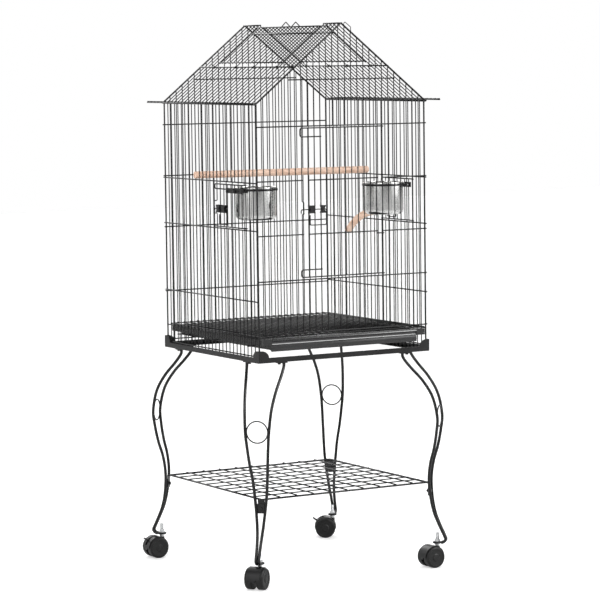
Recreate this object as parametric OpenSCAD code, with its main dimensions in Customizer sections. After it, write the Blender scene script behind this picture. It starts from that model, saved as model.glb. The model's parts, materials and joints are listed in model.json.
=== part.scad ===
// Bird cage with a gabled, opening roof on a rolling stand.
// Millimetres. X runs to the right, Y to the back and Z up. The origin is on the floor, under the
// middle of the cage. The large door is in the front, on the negative Y side.

/* [Cage] */
// Width of the cage, between the axes of its corner bars
cage_w = 450; // [446:1:452]
// Depth of the cage, between the axes of its corner bars
cage_d = 450; // [446:1:452]
// Height of the eaves above the floor
eave_z = 1102; // [1100:1:1106]
// Height of the gable peaks above the floor
ridge_z = 1282; // [1278:1:1286]
// Width of the wire flange that stands out at each eave
flange_w = 46; // [40:1:50]
// Thickness of the thin wires
bar_d = 2.4; // [2.2:0.1:2.4]
// Thickness of the cross wires
ring_d = 3; // [2.8:0.1:3]

/* [Doors] */
// Height of the lower edge of the main door
door_low = 703; // [703:1:706]
// Height of the upper edge of the main door
door_high = 1044; // [1040:1:1044]
// Travel of each sliding latch
latch_travel = 9; // [8:0.5:9]

/* [Furniture] */
// Diameter of the long perch
perch_d = 17; // [15:0.5:17]
// Diameter of the curved perch
curved_perch_d = 17; // [15:0.5:17]
// Radius of a cup at its rim
cup_r = 47; // [45:0.5:47]
// Height of a cup
cup_h = 76; // [70:1:76]

/* [Stand] */
// Height of the underside of the top frame
frame_z = 512.5; // [512.5:0.5:512.5]
// Outer width and depth of the top frame
frame_w = 461; // [461:1:462]
// Thickness of the leg rods
leg_rod_d = 7; // [6:0.5:7]
// Height of the lower shelf
shelf_z = 199.7; // [198:0.1:201]
// Radius of a caster wheel
wheel_r = 25; // [24.5:0.5:25]

/* [Hidden] */

// Facets of a wire. Eight makes a prism whose flats face the axes.
wire_fn = 8;
// Distance between the axes of two crossed wires that are welded together
weld = 2.2;
// Small running clearance of a wire or shaft in its hole
run = 0.06;

wire_black = [0.07, 0.07, 0.075];
plastic_black = [0.05, 0.05, 0.055];
steel = [0.75, 0.76, 0.78];
zinc = [0.68, 0.7, 0.72];
wood = [0.87, 0.7, 0.52];

// Cage grid. Bars are counted from the left on the front and back, and from the front on the sides.
front_gaps = 27;
side_gaps = 26;
half_w = cage_w / 2;
half_d = cage_d / 2;
side_end = half_d - 2.7;
front_pitch = cage_w / front_gaps;
side_pitch = 2 * side_end / side_gaps;
ring_over = 3;
function front_x(i) = -half_w + i * front_pitch;
function side_y(i) = -side_end + i * side_pitch;

// Heights of the cross wires of each panel
front_bottom_z = 576;
front_rings = [697.5, 801.3, 925];
front_top_ring = 1048.4;
back_rings = [531, 648, 802.4, 925, 1047.3];
side_low_rings = [527, 652];
feeder_low = 812.8;
feeder_high = 921.4;
side_top_z = 1099;
gable_ring_z = 1154;
gable_ring_bars = [5, 22];
panel_foot = 514;

// Roof
slope_angle = atan((ridge_z - eave_z) / half_w);
slope_len = norm([half_w, ridge_z - eave_z]);
mid_v = 0.44 * slope_len;
roof_ring_d = 3.2;
roof_end = 224;
flap_bars = [5, 21];
flap_low = mid_v + 17;
flap_top = 0.958 * slope_len;
flap_rail = 0.87 * slope_len;
flap_rod_y = side_y(22) - 5.7;
flap_loop_y = (side_y(15) + side_y(16)) / 2;
flange_rise = 2;
eave_wire_x = -half_w - 7;
left_lift_y = 7.5;
right_lift_y = -1.5;

// Doors
main_bars = [8, 19];
main_keeper = 7;
main_hinge = 20;
feeder_bars = [4, 10];
feeder_keeper = 11;
feeder_hinge = 3;
door_out = 0.6;
feeder_door_low = feeder_low + 4.2;
feeder_door_high = feeder_high - 6.4;
latch_z = 858;
keeper_bump = [latch_z - 11, latch_z + 18];
bump_out = 8;
latch_d = 2.6;
latch_y = -4.3;
hook_x = -5.2;
pull_start_x = 18.5;
main_pull_x = 61.5;
feeder_pull_x = 56;
clip_half_h = 9;
clip_back_y = 0.9;
clip_depth = 8.5;
// each latch slides until its hook meets the first clip
clip_start_x = hook_x + latch_travel + 1.7;
main_clips = [[14.9, 32], [46.5, 59.5]];
feeder_clips = [[clip_start_x, 24], [30, 49]];

// Stand. Legs are drawn in a frame of their own: X points outward along the cage's diagonal.
leg_angles = [225, 135, -45, 45];
leg_line = [
  [271, 44, 512.4], [272.5, 43.8, 500], [289, 41, 478], [317, 36, 446], [339, 31.5, 408],
  [349.5, 28, 360], [347, 25, 325], [340, 21.5, 285], [330, 17.5, 248], [325.5, 14.2, 209],
  [328, 10, 168], [335, 6.5, 131], [346, 4.4, 102], [358, 3.6, 76], [362, 3.6, 65],
  [357, 3.6, 58.5], [351, 3.6, 57]
];
ring_centre = [349, 359];
leg_plate_z = 180;
leg_plate_x = 325;
stem_x = 341.4;
foot_z = 57;
foot_t = 5;
frame_t = 1.5;
frame_h = 12;
frame_flange = 15;
tab_h = 28;
tab_w = 27;
tab_top = 8;
leg_pad_bolt = 12;

// Casters. Each is drawn with its stem on Z and its wheels behind, on the positive X side.
caster_trail = 18;
hood_half = 5.2;
wheel_in = 5.8;
wheel_out = 23.7;
cover_half = 17;
cover_gap = 0.5;
cover_t = 1.5;
neck_r = 5.8;
lever_half = 3.6;
axle_r = 3;
stem_r = 4;
brake_pivot = [29, 38];

// Cups
cup_x = -half_w + 54;
left_cup_y = -121.5;
right_cup_y = -129;
cup_top = 909;
holder_top = cup_top - 4;
holder_in = cup_r + 0.4;
holder_out = cup_r + 4;
cup_clamp_holes = [(side_y(5) + side_y(6)) / 2, (side_y(7) + side_y(8)) / 2];
cup_clamp_hole_y = (side_y(4) + side_y(5)) / 2;
clamp_screw_z = holder_top - 5;
clamp_screw_r = 2;
clamp_screw_depth = 3.8;

// Tray and grille
tray_x = 218;
basin_x = 195;
tray_back = 215;
tray_front = -229;
rim_top = 566;
rim_skirt = 552;
basin_low = 541;
front_low = 537.6;
tray_t = 2.5;
grille_z = 570;
grille_x = 220.8;
runner_x = 207;
runner_z = 559.5;
arm_z = 547;

// ---------- building blocks ----------

module bar_x(x0, x1, y, z, d) {
  translate([x0, y, z])
    rotate([0, 90, 0])
      rotate(180 / wire_fn)
        cylinder(h = x1 - x0, d = d, $fn = wire_fn);
}

module bar_y(x, y0, y1, z, d) {
  translate([x, y0, z])
    rotate([-90, 0, 0])
      rotate(180 / wire_fn)
        cylinder(h = y1 - y0, d = d, $fn = wire_fn);
}

module bar_z(x, y, z0, z1, d) {
  translate([x, y, z0])
    rotate(180 / wire_fn)
      cylinder(h = z1 - z0, d = d, $fn = wire_fn);
}

// A wire between any two points
module wire(p, q, d) {
  v = q - p;
  len = norm(v);
  translate(p)
    rotate([0, acos(v[2] / len), atan2(v[1], v[0])])
      rotate(180 / wire_fn)
        cylinder(h = len, d = d, $fn = wire_fn);
}

// An upright bar that steps outward around the end of a latch
module keeper_bar(z0, z1) {
  bar_z(0, 0, z0, keeper_bump[0] + bar_d / 2, bar_d);
  bar_z(0, 0, keeper_bump[1] - bar_d / 2, z1, bar_d);
  bar_z(0, -bump_out, keeper_bump[0] - bar_d / 2, keeper_bump[1] + bar_d / 2, bar_d);
  for (z = keeper_bump)
    bar_y(0, -bump_out, 0, z, bar_d);
}

// A wire end rolled around an upright bar, as a hinge
module hinge_roll(z) {
  translate([0, 0, z - ring_d / 2])
    difference() {
      cylinder(h = ring_d, r = bar_d / 2 + run + 2.6, $fn = 32);
      translate([0, 0, -1])
        cylinder(h = ring_d + 2, r = bar_d / 2 + run, $fn = 32);
    }
}

// The sliding latch wire, in the frame of its keeper bar: X towards the hinge, -Y outward
module latch_wire(pull_x) {
  pull_z = latch_z - 36;
  translate([hook_x - latch_d / 2, latch_y, latch_z])
    rotate([0, 90, 0])
      cylinder(h = pull_x - hook_x + latch_d, d = latch_d, $fn = 24);
  bar_z(hook_x, latch_y, latch_z - 8.5, latch_z, latch_d);
  bar_z(pull_x, latch_y, pull_z, latch_z, latch_d);
  bar_x(pull_start_x - latch_d / 2, pull_x + latch_d / 2, latch_y, pull_z, latch_d);
  bar_z(pull_start_x, latch_y, pull_z, latch_z - 13, latch_d);
}

// A bow-shaped clip from x0 to x1, slotted for the door's bars and bored for the latch wire
module latch_clip(x0, x1, pitch) {
  waist = 2.2;
  difference() {
    translate([0, clip_back_y, latch_z])
      rotate([90, 0, 0])
        linear_extrude(height = clip_depth)
          polygon([
            [x0, -clip_half_h], [x1, -clip_half_h], [x1 - waist, 0],
            [x1, clip_half_h], [x0, clip_half_h], [x0 + waist, 0]
          ]);
    translate([x0 - 1, latch_y, latch_z])
      rotate([0, 90, 0])
        cylinder(h = x1 - x0 + 2, r = latch_d / 2 + run, $fn = 24);
    for (i = [1 : 4])
      bar_z(i * pitch, -door_out, latch_z - 12, latch_z + 12, bar_d + 0.2);
  }
}

// Two clips, each given by the X of its ends
module latch_guides(clips, pitch) {
  color(plastic_black)
    for (c = clips)
      latch_clip(c[0], c[1], pitch);
}

// The door's end wires: straight across, then a U-bend past the keeper bar
module door_edge(z, back_z, x0, x1, back_x) {
  y = -door_out - weld;
  bar_x(x0, x1, y, z, ring_d);
  bar_z(x0 + 1.4, y, min(z, back_z) - 1.3, max(z, back_z) + 1.3, ring_d);
  bar_x(x0, back_x, y, back_z, ring_d);
}

// Moves children to the left wall, to the frame of an upright bar: X towards the front
module on_left_wall(i) {
  translate([-half_w, side_y(i), 0])
    rotate([0, 0, -90])
      children();
}

// ---------- cage panels ----------

function gable_z(x) = eave_z + (ridge_z - eave_z) * (1 - abs(x) / half_w);

// Gable end shared by the front and back: posts, upright bars above z, rafters and the gable wire
module gable_wires(bars_from) {
  for (i = [0 : front_gaps])
    if (bars_from[i] != undef)
      bar_z(front_x(i), 0, bars_from[i], gable_z(front_x(i)) + (i == 0 || i == front_gaps ? 1 : 0), bar_d);
  // the right rafter is a little thinner, so the two cross cleanly at the peak
  wire([-half_w, -weld, eave_z], [0.6, -weld, ridge_z + 0.5], ring_d);
  wire([half_w, -weld, eave_z], [-0.6, -weld, ridge_z + 0.5], ring_d - 0.3);
  bar_x(front_x(gable_ring_bars[0]) - 1, front_x(gable_ring_bars[1]) + 1, -weld, gable_ring_z, ring_d);
}

module front_panel() {
  is_door = [for (i = [0 : front_gaps]) i >= main_bars[0] && i <= main_bars[1]];
  starts = [for (i = [0 : front_gaps])
    is_door[i] ? front_top_ring - 1.2
    : i == main_keeper ? undef
    : i == 0 || i == front_gaps ? panel_foot
    : front_bottom_z - 1.2];
  color(wire_black)
    translate([0, -half_d, 0]) {
      gable_wires(starts);
      for (i = [main_bars[0] : main_bars[1]])
        bar_z(front_x(i), 0, front_bottom_z - 1.2, front_rings[0] + 1.2, bar_d);
      translate([front_x(main_keeper), 0, 0])
        keeper_bar(front_bottom_z - 1.2, gable_z(front_x(main_keeper)));
      for (z = [front_bottom_z, front_rings[0], front_top_ring])
        bar_x(-half_w - ring_over, half_w + ring_over, -weld, z, ring_d);
      for (z = [front_rings[1], front_rings[2]]) {
        bar_x(-half_w - ring_over, front_x(main_keeper) + 1, -weld, z, ring_d);
        bar_x(front_x(main_hinge) - 1, half_w + ring_over, -weld, z, ring_d);
      }
      // small hook beside the peak that holds the roof
      hook = [[6, ridge_z - 5], [8.5, ridge_z + 3], [25, ridge_z - 9.5], [25, ridge_z - 19]];
      for (k = [0 : 2])
        wire([hook[k][0], -weld, hook[k][1]], [hook[k + 1][0], -weld, hook[k + 1][1]], 2 - 0.15 * k);
    }
}

module back_panel() {
  color(wire_black)
    translate([0, half_d, 0])
      mirror([0, 1, 0]) {
        gable_wires([for (i = [0 : front_gaps]) panel_foot]);
        for (z = back_rings)
          bar_x(-half_w - ring_over, half_w + ring_over, -weld, z, ring_d);
      }
}

// One side wall: s is -1 for the left and 1 for the right
module side_wall(s) {
  wall_x = s * half_w;
  ring_x = s * (half_w + weld);
  for (i = [0 : side_gaps]) {
    opening = i >= feeder_bars[0] && i <= feeder_bars[1];
    if (opening) {
      bar_z(wall_x, side_y(i), panel_foot, feeder_low + 1.2, bar_d);
      bar_z(wall_x, side_y(i), feeder_high - 1.2, side_top_z + 1.2, bar_d);
    } else if (i != feeder_keeper)
      bar_z(wall_x, side_y(i), panel_foot, side_top_z + 1.2, bar_d);
  }
  translate([wall_x, side_y(feeder_keeper), 0])
    rotate([0, 0, s * 90])
      keeper_bar(panel_foot, side_top_z + 1.2);
  for (z = concat(side_low_rings, [feeder_low, feeder_high, side_top_z]))
    bar_y(ring_x, -half_d - ring_over, half_d + ring_over, z, ring_d);
  // ledge for the floor grille
  bar_y(wall_x - s * weld, -side_end - 1, side_end + 1, grille_z - 3, ring_d);
  // runner for the tray, on three arms that pass under the tray's rim
  bar_y(s * runner_x, -side_end + 8, side_end - 8, runner_z, 4);
  for (i = [3, 13, 23]) {
    y = side_y(i) + weld;
    bar_x(min(wall_x, s * runner_x) - 1.1, max(wall_x, s * runner_x) + 1.1, y, arm_z, ring_d);
    bar_z(s * runner_x, y, arm_z - 1.2, runner_z, ring_d - 0.3);
  }
}

module left_panel() {
  color(wire_black)
    side_wall(-1);
}

module right_panel() {
  color(wire_black)
    side_wall(1);
}

// ---------- roof ----------

// Puts children on the left slope: X up the slope from the eave, Z outward
module on_left_slope() {
  translate([-half_w, 0, eave_z])
    rotate([0, -slope_angle, 0])
      children();
}

module roof_slope() {
  on_left_slope() {
    for (i = [0 : side_gaps]) {
      short = i >= flap_bars[0] && i <= flap_bars[1];
      bar_x(-0.3, short ? mid_v + 1.2 : slope_len - 2, side_y(i), 0, bar_d);
    }
    bar_y(mid_v, -roof_end, roof_end, weld, roof_ring_d);
    for (s = [-1, 1])
      bar_y(slope_len - 3, min(s * side_y(22), s * roof_end) - 1, max(s * side_y(22), s * roof_end), weld, ring_d);
  }
  for (i = [0 : side_gaps])
    wire([-half_w + 0.3, side_y(i), eave_z], [-half_w - flange_w, side_y(i), eave_z + flange_rise], bar_d);
  bar_y(eave_wire_x, -roof_end, roof_end, eave_z + 0.3 - weld, ring_d);
  bar_y(-half_w - flange_w + 1, -roof_end, roof_end, eave_z + flange_rise - weld, ring_d);
}

// The lift loop stands around loop_y, which differs between the two flaps
module roof_flap(loop_y) {
  rod_end = flap_top + 1.2;
  on_left_slope() {
    for (i = [flap_bars[0] : flap_bars[1]])
      bar_x(flap_low - 1.2, rod_end, side_y(i), 0, bar_d);
    for (s = [-1, 1])
      bar_x(flap_low - 1.5, rod_end, s * flap_rod_y, 0, ring_d);
    for (v = [flap_low, flap_rail, flap_top])
      bar_y(v, -flap_rod_y - 1.5, flap_rod_y + 1.5, weld, ring_d);
    for (y = [-flap_rod_y, -flap_loop_y, flap_loop_y, flap_rod_y])
      flap_hinge(y);
  }
  // lift loop on the upper edge
  base = [
    -half_w + flap_top * cos(slope_angle) - weld * sin(slope_angle),
    eave_z + flap_top * sin(slope_angle) + weld * cos(slope_angle)
  ];
  wire([base[0], loop_y - 21, base[1] - 0.3], [base[0], loop_y + 0.8, base[1] + 11.5], bar_d);
  wire([base[0], loop_y + 21, base[1] - 0.3], [base[0], loop_y - 0.8, base[1] + 11.5], bar_d - 0.3);
}

// A loop around the mid-slope wire, and the short arm that joins it to the flap
module flap_hinge(y) {
  bore = roof_ring_d / 2 + run;
  difference() {
    translate([mid_v, y - 1.5, weld])
      rotate([-90, 0, 0])
        cylinder(h = 3, r = bore + 2.3, $fn = 32);
    translate([mid_v, y - 3, weld])
      rotate([-90, 0, 0])
        cylinder(h = 6, r = bore, $fn = 32);
  }
  bar_x(mid_v + bore + 1, flap_low + 0.5, y, weld, 2.8);
}

module left_roof() {
  color(wire_black)
    roof_slope();
}

module right_roof() {
  color(wire_black)
    mirror([1, 0, 0])
      roof_slope();
}

module left_roof_flap() {
  color(wire_black)
    roof_flap(left_lift_y);
}

module right_roof_flap() {
  color(wire_black)
    mirror([1, 0, 0])
      roof_flap(right_lift_y);
}

// ---------- doors ----------

module main_door() {
  hinge_x = front_x(main_hinge);
  y = -door_out - weld;
  color(wire_black)
    translate([0, -half_d, 0]) {
      for (i = [main_bars[0] : main_bars[1]])
        bar_z(front_x(i), -door_out, door_low - 1.2, door_high + 1.2, bar_d);
      door_edge(door_high, door_high - 20, front_x(main_keeper) - 6.5, hinge_x - 1.6, front_x(10) + 1);
      door_edge(door_low, door_low + 17, front_x(main_keeper) - 6.5, hinge_x - 1.6, front_x(10) + 1);
      for (z = [front_rings[1], front_rings[2]])
        bar_x(front_x(main_bars[0]) - 1, front_x(main_bars[1]) + 1, y, z, ring_d);
      bar_x(front_x(main_bars[1]) - 1, hinge_x - 1.6, y, front_rings[1] - 5, ring_d);
      for (z = [door_low, front_rings[1] - 5, door_high])
        translate([hinge_x, 0, 0])
          hinge_roll(z);
    }
}

module main_door_latch() {
  color(wire_black)
    translate([front_x(main_keeper), -half_d, 0])
      latch_wire(main_pull_x);
}

module main_door_guides() {
  translate([front_x(main_keeper), -half_d, 0])
    latch_guides(main_clips, front_pitch);
}

// One feeder door, drawn on the left wall from its keeper bar: X towards its hinge
module feeder_door() {
  hinge_x = (feeder_keeper - feeder_hinge) * side_pitch;
  back_x = 3 * side_pitch + 1;
  on_left_wall(feeder_keeper) {
    for (i = [1 : feeder_keeper - feeder_bars[0]])
      bar_z(i * side_pitch, -door_out, feeder_door_low - 1.2, feeder_door_high + 1.2, bar_d);
    door_edge(feeder_door_high, feeder_door_high - 11, -6.5, hinge_x - 1.6, back_x);
    bar_x(-6.5, hinge_x - 1.6, -door_out - weld, feeder_door_low, ring_d);
    for (z = [feeder_door_low, feeder_door_high])
      translate([hinge_x, 0, 0])
        hinge_roll(z);
  }
}

module left_feeder_door() {
  color(wire_black)
    feeder_door();
}

module right_feeder_door() {
  color(wire_black)
    mirror([1, 0, 0])
      feeder_door();
}

module left_feeder_latch() {
  color(wire_black)
    on_left_wall(feeder_keeper)
      latch_wire(feeder_pull_x);
}

module right_feeder_latch() {
  color(wire_black)
    mirror([1, 0, 0])
      on_left_wall(feeder_keeper)
        latch_wire(feeder_pull_x);
}

module left_feeder_guides() {
  on_left_wall(feeder_keeper)
    latch_guides(feeder_clips, side_pitch);
}

module right_feeder_guides() {
  mirror([1, 0, 0])
    on_left_wall(feeder_keeper)
      latch_guides(feeder_clips, side_pitch);
}

// ---------- cups ----------

// Ring around the cup, with the plate that lies inside the door's bars
module cup_holder(cup_y) {
  ring_h = 4.5;
  plate_h = 9;
  plate_x = -half_w + 1.6;
  plate_t = 5.3;
  plate_y = [side_y(4) + 3, side_y(8) - 3];
  color(plastic_black)
    difference() {
      union() {
        translate([cup_x, cup_y, holder_top - ring_h])
          cylinder(h = ring_h, r = holder_out, $fn = 64);
        translate([plate_x, plate_y[0], holder_top - plate_h])
          cube([plate_t, plate_y[1] - plate_y[0], plate_h]);
      }
      translate([cup_x, cup_y, holder_top - plate_h - 1])
        cylinder(h = plate_h + 2, r = holder_in, $fn = 64);
      for (y = cup_clamp_holes)
        translate([plate_x - 1, y, clamp_screw_z])
          rotate([0, 90, 0])
            cylinder(h = clamp_screw_depth + 1, r = clamp_screw_r, $fn = 24);
    }
}

// Plate outside the bars, and the two screws that pull it against the plate inside
module cup_clamp() {
  plate_x = -half_w - 5;
  plate_t = 3;
  plate_h = 12;
  plate_y = [side_y(4) - 4, side_y(8) - 3];
  head_h = 2.4;
  color(plastic_black) {
    difference() {
      translate([plate_x, plate_y[0], holder_top - plate_h + 2.5])
        cube([plate_t, plate_y[1] - plate_y[0], plate_h]);
      for (y = cup_clamp_holes)
        translate([plate_x - 1, y, clamp_screw_z])
          rotate([0, 90, 0])
            cylinder(h = plate_t + 2, r = clamp_screw_r + 0.2, $fn = 24);
      translate([plate_x - 1, cup_clamp_hole_y, clamp_screw_z + 1])
        rotate([0, 90, 0])
          cylinder(h = plate_t + 2, r = 3, $fn = 24);
    }
    for (y = cup_clamp_holes)
      translate([plate_x, y, clamp_screw_z])
        rotate([0, 90, 0]) {
          translate([0, 0, -head_h])
            cylinder(h = head_h, r = 3.6, $fn = 24);
          translate([0, 0, -0.1])
            cylinder(h = plate_t + 2 + 1.6 + clamp_screw_depth, r = clamp_screw_r, $fn = 24);
        }
  }
}

module cup(cup_y) {
  corner = 11;
  wall = 1.2;
  rim_out = 2.6;
  low = cup_top - cup_h;
  color(steel)
    translate([cup_x, cup_y, 0])
      difference() {
        rotate_extrude($fn = 96)
          union() {
            translate([0, low])
              square([cup_r - corner, cup_h]);
            translate([0, low + corner])
              square([cup_r, cup_h - corner]);
            translate([cup_r - corner, low + corner])
              circle(r = corner, $fn = 64);
            translate([0, holder_top + 0.3])
              square([cup_r + rim_out, cup_top - holder_top - 0.3]);
          }
        rotate_extrude($fn = 96)
          union() {
            translate([0, low + wall])
              square([cup_r - corner, cup_h]);
            translate([0, low + corner])
              square([cup_r - wall, cup_h]);
            translate([cup_r - corner, low + corner])
              circle(r = corner - wall, $fn = 64);
          }
      }
}

module left_cup_holder() {
  cup_holder(left_cup_y);
}

module left_cup_clamp() {
  cup_clamp();
}

module left_cup() {
  cup(left_cup_y);
}

module right_cup_holder() {
  mirror([1, 0, 0])
    cup_holder(right_cup_y);
}

module right_cup_clamp() {
  mirror([1, 0, 0])
    cup_clamp();
}

module right_cup() {
  mirror([1, 0, 0])
    cup(right_cup_y);
}

// ---------- perches ----------

// Dowel on the side wires. A slot in each end fits over an upright bar.
module long_perch() {
  p = [-half_w, side_y(17), feeder_high + ring_d / 2 + perch_d / 2 + 0.4];
  q = [half_w, side_y(15), p[2]];
  turn = atan2(q[1] - p[1], q[0] - p[0]);
  reach = norm(q - p) / 2;
  over = 4;
  slot_w = 3.4;
  color(wood)
    translate((p + q) / 2)
      rotate([0, 0, turn])
        difference() {
          translate([-reach - over, 0, 0])
            rotate([0, 90, 0])
              cylinder(h = 2 * (reach + over), d = perch_d, $fn = 48);
          for (s = [-1, 1])
            translate([s * (reach + over / 2 + 1) - (over + 6) / 2, -slot_w / 2, -perch_d])
              cube([over + 6, slot_w, 2 * perch_d]);
        }
}

perch_bolt_y = (side_y(12) + side_y(13)) / 2;
perch_bolt_z = 832;
bolt_washer = 2.5;
perch_face = half_w - bar_d / 2 - bolt_washer;

// Branch-like perch that curves down into the cage
module curved_perch() {
  bend_r = 86.6;
  bend = 62;
  color(wood)
    difference() {
      translate([perch_face, perch_bolt_y, perch_bolt_z - bend_r])
        rotate([90, 0, 0])
          rotate([0, 0, 90])
            rotate_extrude(angle = bend, $fn = 96)
              translate([bend_r, 0])
                circle(d = curved_perch_d, $fn = 48);
      translate([perch_face - 15, perch_bolt_y, perch_bolt_z])
        rotate([0, 90, 0])
          cylinder(h = 20, r = 2.5, $fn = 24);
    }
}

// Screw, two washers and a wing nut through the wall
module curved_perch_bolt() {
  color(zinc)
    translate([perch_face, perch_bolt_y, perch_bolt_z])
      rotate([0, 90, 0]) {
        translate([0, 0, -14])
          cylinder(h = 28, r = 2.5, $fn = 24);
        cylinder(h = bolt_washer, r = 10, $fn = 32);
        translate([0, 0, bolt_washer + bar_d])
          cylinder(h = 1.6, r = 10, $fn = 32);
        translate([0, 0, bolt_washer + bar_d + 1.5])
          cylinder(h = 5, r = 4.5, $fn = 24);
        translate([-1.2, -11, bolt_washer + bar_d + 3])
          cube([2.4, 22, 6]);
      }
}

// ---------- floor ----------

module floor_grille() {
  front = -222.5;
  back = 214;
  bars = 25;
  color(wire_black) {
    for (s = [-1, 1])
      bar_y(s * grille_x, front - 1.4, back + 1.4, grille_z, ring_d);
    for (y = [front, -76, 70, back])
      bar_x(-grille_x - 1.4, grille_x + 1.4, y, grille_z, ring_d);
    for (i = [1 : bars - 1])
      bar_y(-grille_x + i * 2 * grille_x / bars, front - 1, back + 1, grille_z + weld, bar_d);
  }
}

// Deep tray with a wide rim that hangs over the runners. The front edge has a hollow grip.
module tray() {
  color(plastic_black) {
    difference() {
      union() {
        translate([-tray_x, tray_front + 3, rim_skirt])
          cube([2 * tray_x, tray_back - tray_front - 3, rim_top - rim_skirt]);
        translate([-basin_x, tray_front + 3, basin_low])
          cube([2 * basin_x, tray_back - tray_front - 6, rim_top - basin_low - 1]);
      }
      // channels for the runners, open at the back
      for (x = [-tray_x + tray_t, basin_x])
        translate([x, tray_front + 12, rim_skirt - 1])
          cube([tray_x - tray_t - basin_x, tray_back - tray_front, rim_top - rim_skirt - 3]);
      translate([-basin_x + tray_t, tray_front + 12, basin_low + tray_t])
        cube([2 * (basin_x - tray_t), tray_back - tray_front - 12 - 3 - tray_t, 40]);
    }
    tray_front_edge();
  }
}

module tray_front_edge() {
  // the hollow is an arc between the upper roll and the lower band
  hollow = [for (a = [60 : -20 : -60]) [-8.3 + 6.5 * cos(a) - 0.4, 557 + 5.8 * sin(a)]];
  profile = concat(
    [[4, front_low + 3], [4, rim_top], [-2, rim_top], [-4.5, rim_top - 1.5], [-5, rim_top - 4]],
    hollow,
    [[-5, 551.5], [-5.6, 545], [-4.6, front_low], [0, front_low]]
  );
  translate([-basin_x, tray_front + 3, 0])
    rotate([90, 0, 90])
      linear_extrude(height = 2 * basin_x)
        polygon(profile);
  for (s = [-1, 1])
    translate([s > 0 ? basin_x : -tray_x, tray_front - 1.5, rim_skirt])
      cube([tray_x - basin_x, 6, rim_top - rim_skirt]);
}

// ---------- stand ----------

module stand_top_frame() {
  half = frame_w / 2;
  color(wire_black)
    difference() {
      union() {
        difference() {
          translate([-half, -half, frame_z])
            cube([frame_w, frame_w, frame_h]);
          translate([-half + frame_t, -half + frame_t, frame_z + frame_t])
            cube([frame_w - 2 * frame_t, frame_w - 2 * frame_t, frame_h]);
          translate([-half + frame_flange, -half + frame_flange, frame_z - 1])
            cube([frame_w - 2 * frame_flange, frame_w - 2 * frame_flange, frame_h]);
        }
        for (a = [0 : 90 : 270])
          rotate([0, 0, a]) {
            corner_tab();
            mirror([1, -1, 0])
              corner_tab();
          }
      }
      for (a = leg_angles)
        rotate([0, 0, a])
          for (s = [-1, 1])
            on_pad(s)
              translate([leg_pad_bolt, 0, frame_z - 1])
                cylinder(h = 4, r = 2.2, $fn = 24);
    }
}

// Upright tab with a rounded shoulder, at the right-hand end of the front rail
module corner_tab() {
  half = frame_w / 2;
  translate([half, -half + frame_t, frame_z])
    rotate([90, 0, 0])
      linear_extrude(height = frame_t)
        polygon(concat(
          [[0, 0], [0, tab_h]],
          [for (a = [90 : -15 : 0])
            [-tab_top - (tab_w - tab_top) * cos(a), frame_h + (tab_h - frame_h) * sin(a)]],
          [[-tab_w, 0]]
        ));
}

// Catmull-Rom curve through the points p, with n steps in each span
function spline(p, n) = concat(
  [for (i = [0 : len(p) - 2], k = [0 : n - 1])
    let (
      a = p[max(i - 1, 0)], b = p[i], c = p[i + 1], d = p[min(i + 2, len(p) - 1)], t = k / n
    )
    b + t / 2 * ((c - a) + t * ((2 * a - 5 * b + 4 * c - d) + t * (3 * b - a - 3 * c + d)))],
  [p[len(p) - 1]]
);

function unit(v) = v / norm(v);

// A round rod of radius r swept along the points p
module rod(p, r, sides) {
  last = len(p) - 1;
  rings = [for (i = [0 : last])
    let (
      along = unit(p[min(i + 1, last)] - p[max(i - 1, 0)]),
      u = unit(cross(along, [0, 1, 0])),
      w = cross(along, u)
    )
    for (j = [0 : sides - 1]) p[i] + r * (cos(360 * j / sides) * u + sin(360 * j / sides) * w)];
  walls = [for (i = [0 : last - 1], j = [0 : sides - 1])
    let (k = (j + 1) % sides)
    each [[i * sides + j, (i + 1) * sides + k, i * sides + k],
      [i * sides + j, (i + 1) * sides + j, (i + 1) * sides + k]]];
  caps = [
    [for (j = [0 : sides - 1]) j],
    [for (j = [sides - 1 : -1 : 0]) last * sides + j]
  ];
  polyhedron(rings, concat(walls, caps));
}

// Moves children to the pad of a leg's rod: X along the rail, towards the corner
module on_pad(s) {
  translate([leg_line[0][0], s * leg_line[0][1], 0])
    rotate([0, 0, -s * 45])
      children();
}

module leg() {
  color(wire_black) {
    for (s = [-1, 1])
      rod(spline([for (q = leg_line) [q[0], s * q[1], q[2]]], 2), leg_rod_d / 2, 8);
    difference() {
      for (s = [-1, 1])
        on_pad(s)
          translate([-7, -6.5, frame_z - 2.6])
            cube([26, 13, 2.5]);
      for (s = [-1, 1])
        on_pad(s)
          translate([leg_pad_bolt, 0, frame_z - 4])
            cylinder(h = 6, r = 2.2, $fn = 24);
    }
    translate([ring_centre[0] - 1.6, 0, ring_centre[1]])
      rotate([0, 90, 0])
        difference() {
          cylinder(h = 3.2, r = 26.5, $fn = 48);
          translate([0, 0, -1])
            cylinder(h = 6, r = 23.3, $fn = 48);
        }
    difference() {
      translate([leg_plate_x - 1.5, -12.5, leg_plate_z - 11])
        cube([3, 25, 22]);
      translate([leg_plate_x - 5, 0, leg_plate_z])
        rotate([0, 90, 0])
          cylinder(h = 10, r = 2.2, $fn = 24);
    }
    difference() {
      translate([stem_x, 0, foot_z - foot_t / 2])
        cylinder(h = foot_t, r = 11, $fn = 48);
      translate([stem_x, 0, foot_z - foot_t])
        cylinder(h = 2 * foot_t, r = stem_r + 0.2, $fn = 32);
    }
  }
}

module near_leg() {
  rotate([0, 0, leg_angles[0]])
    leg();
}

module left_leg() {
  rotate([0, 0, leg_angles[1]])
    leg();
}

module right_leg() {
  rotate([0, 0, leg_angles[2]])
    leg();
}

module back_leg() {
  rotate([0, 0, leg_angles[3]])
    leg();
}

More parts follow.
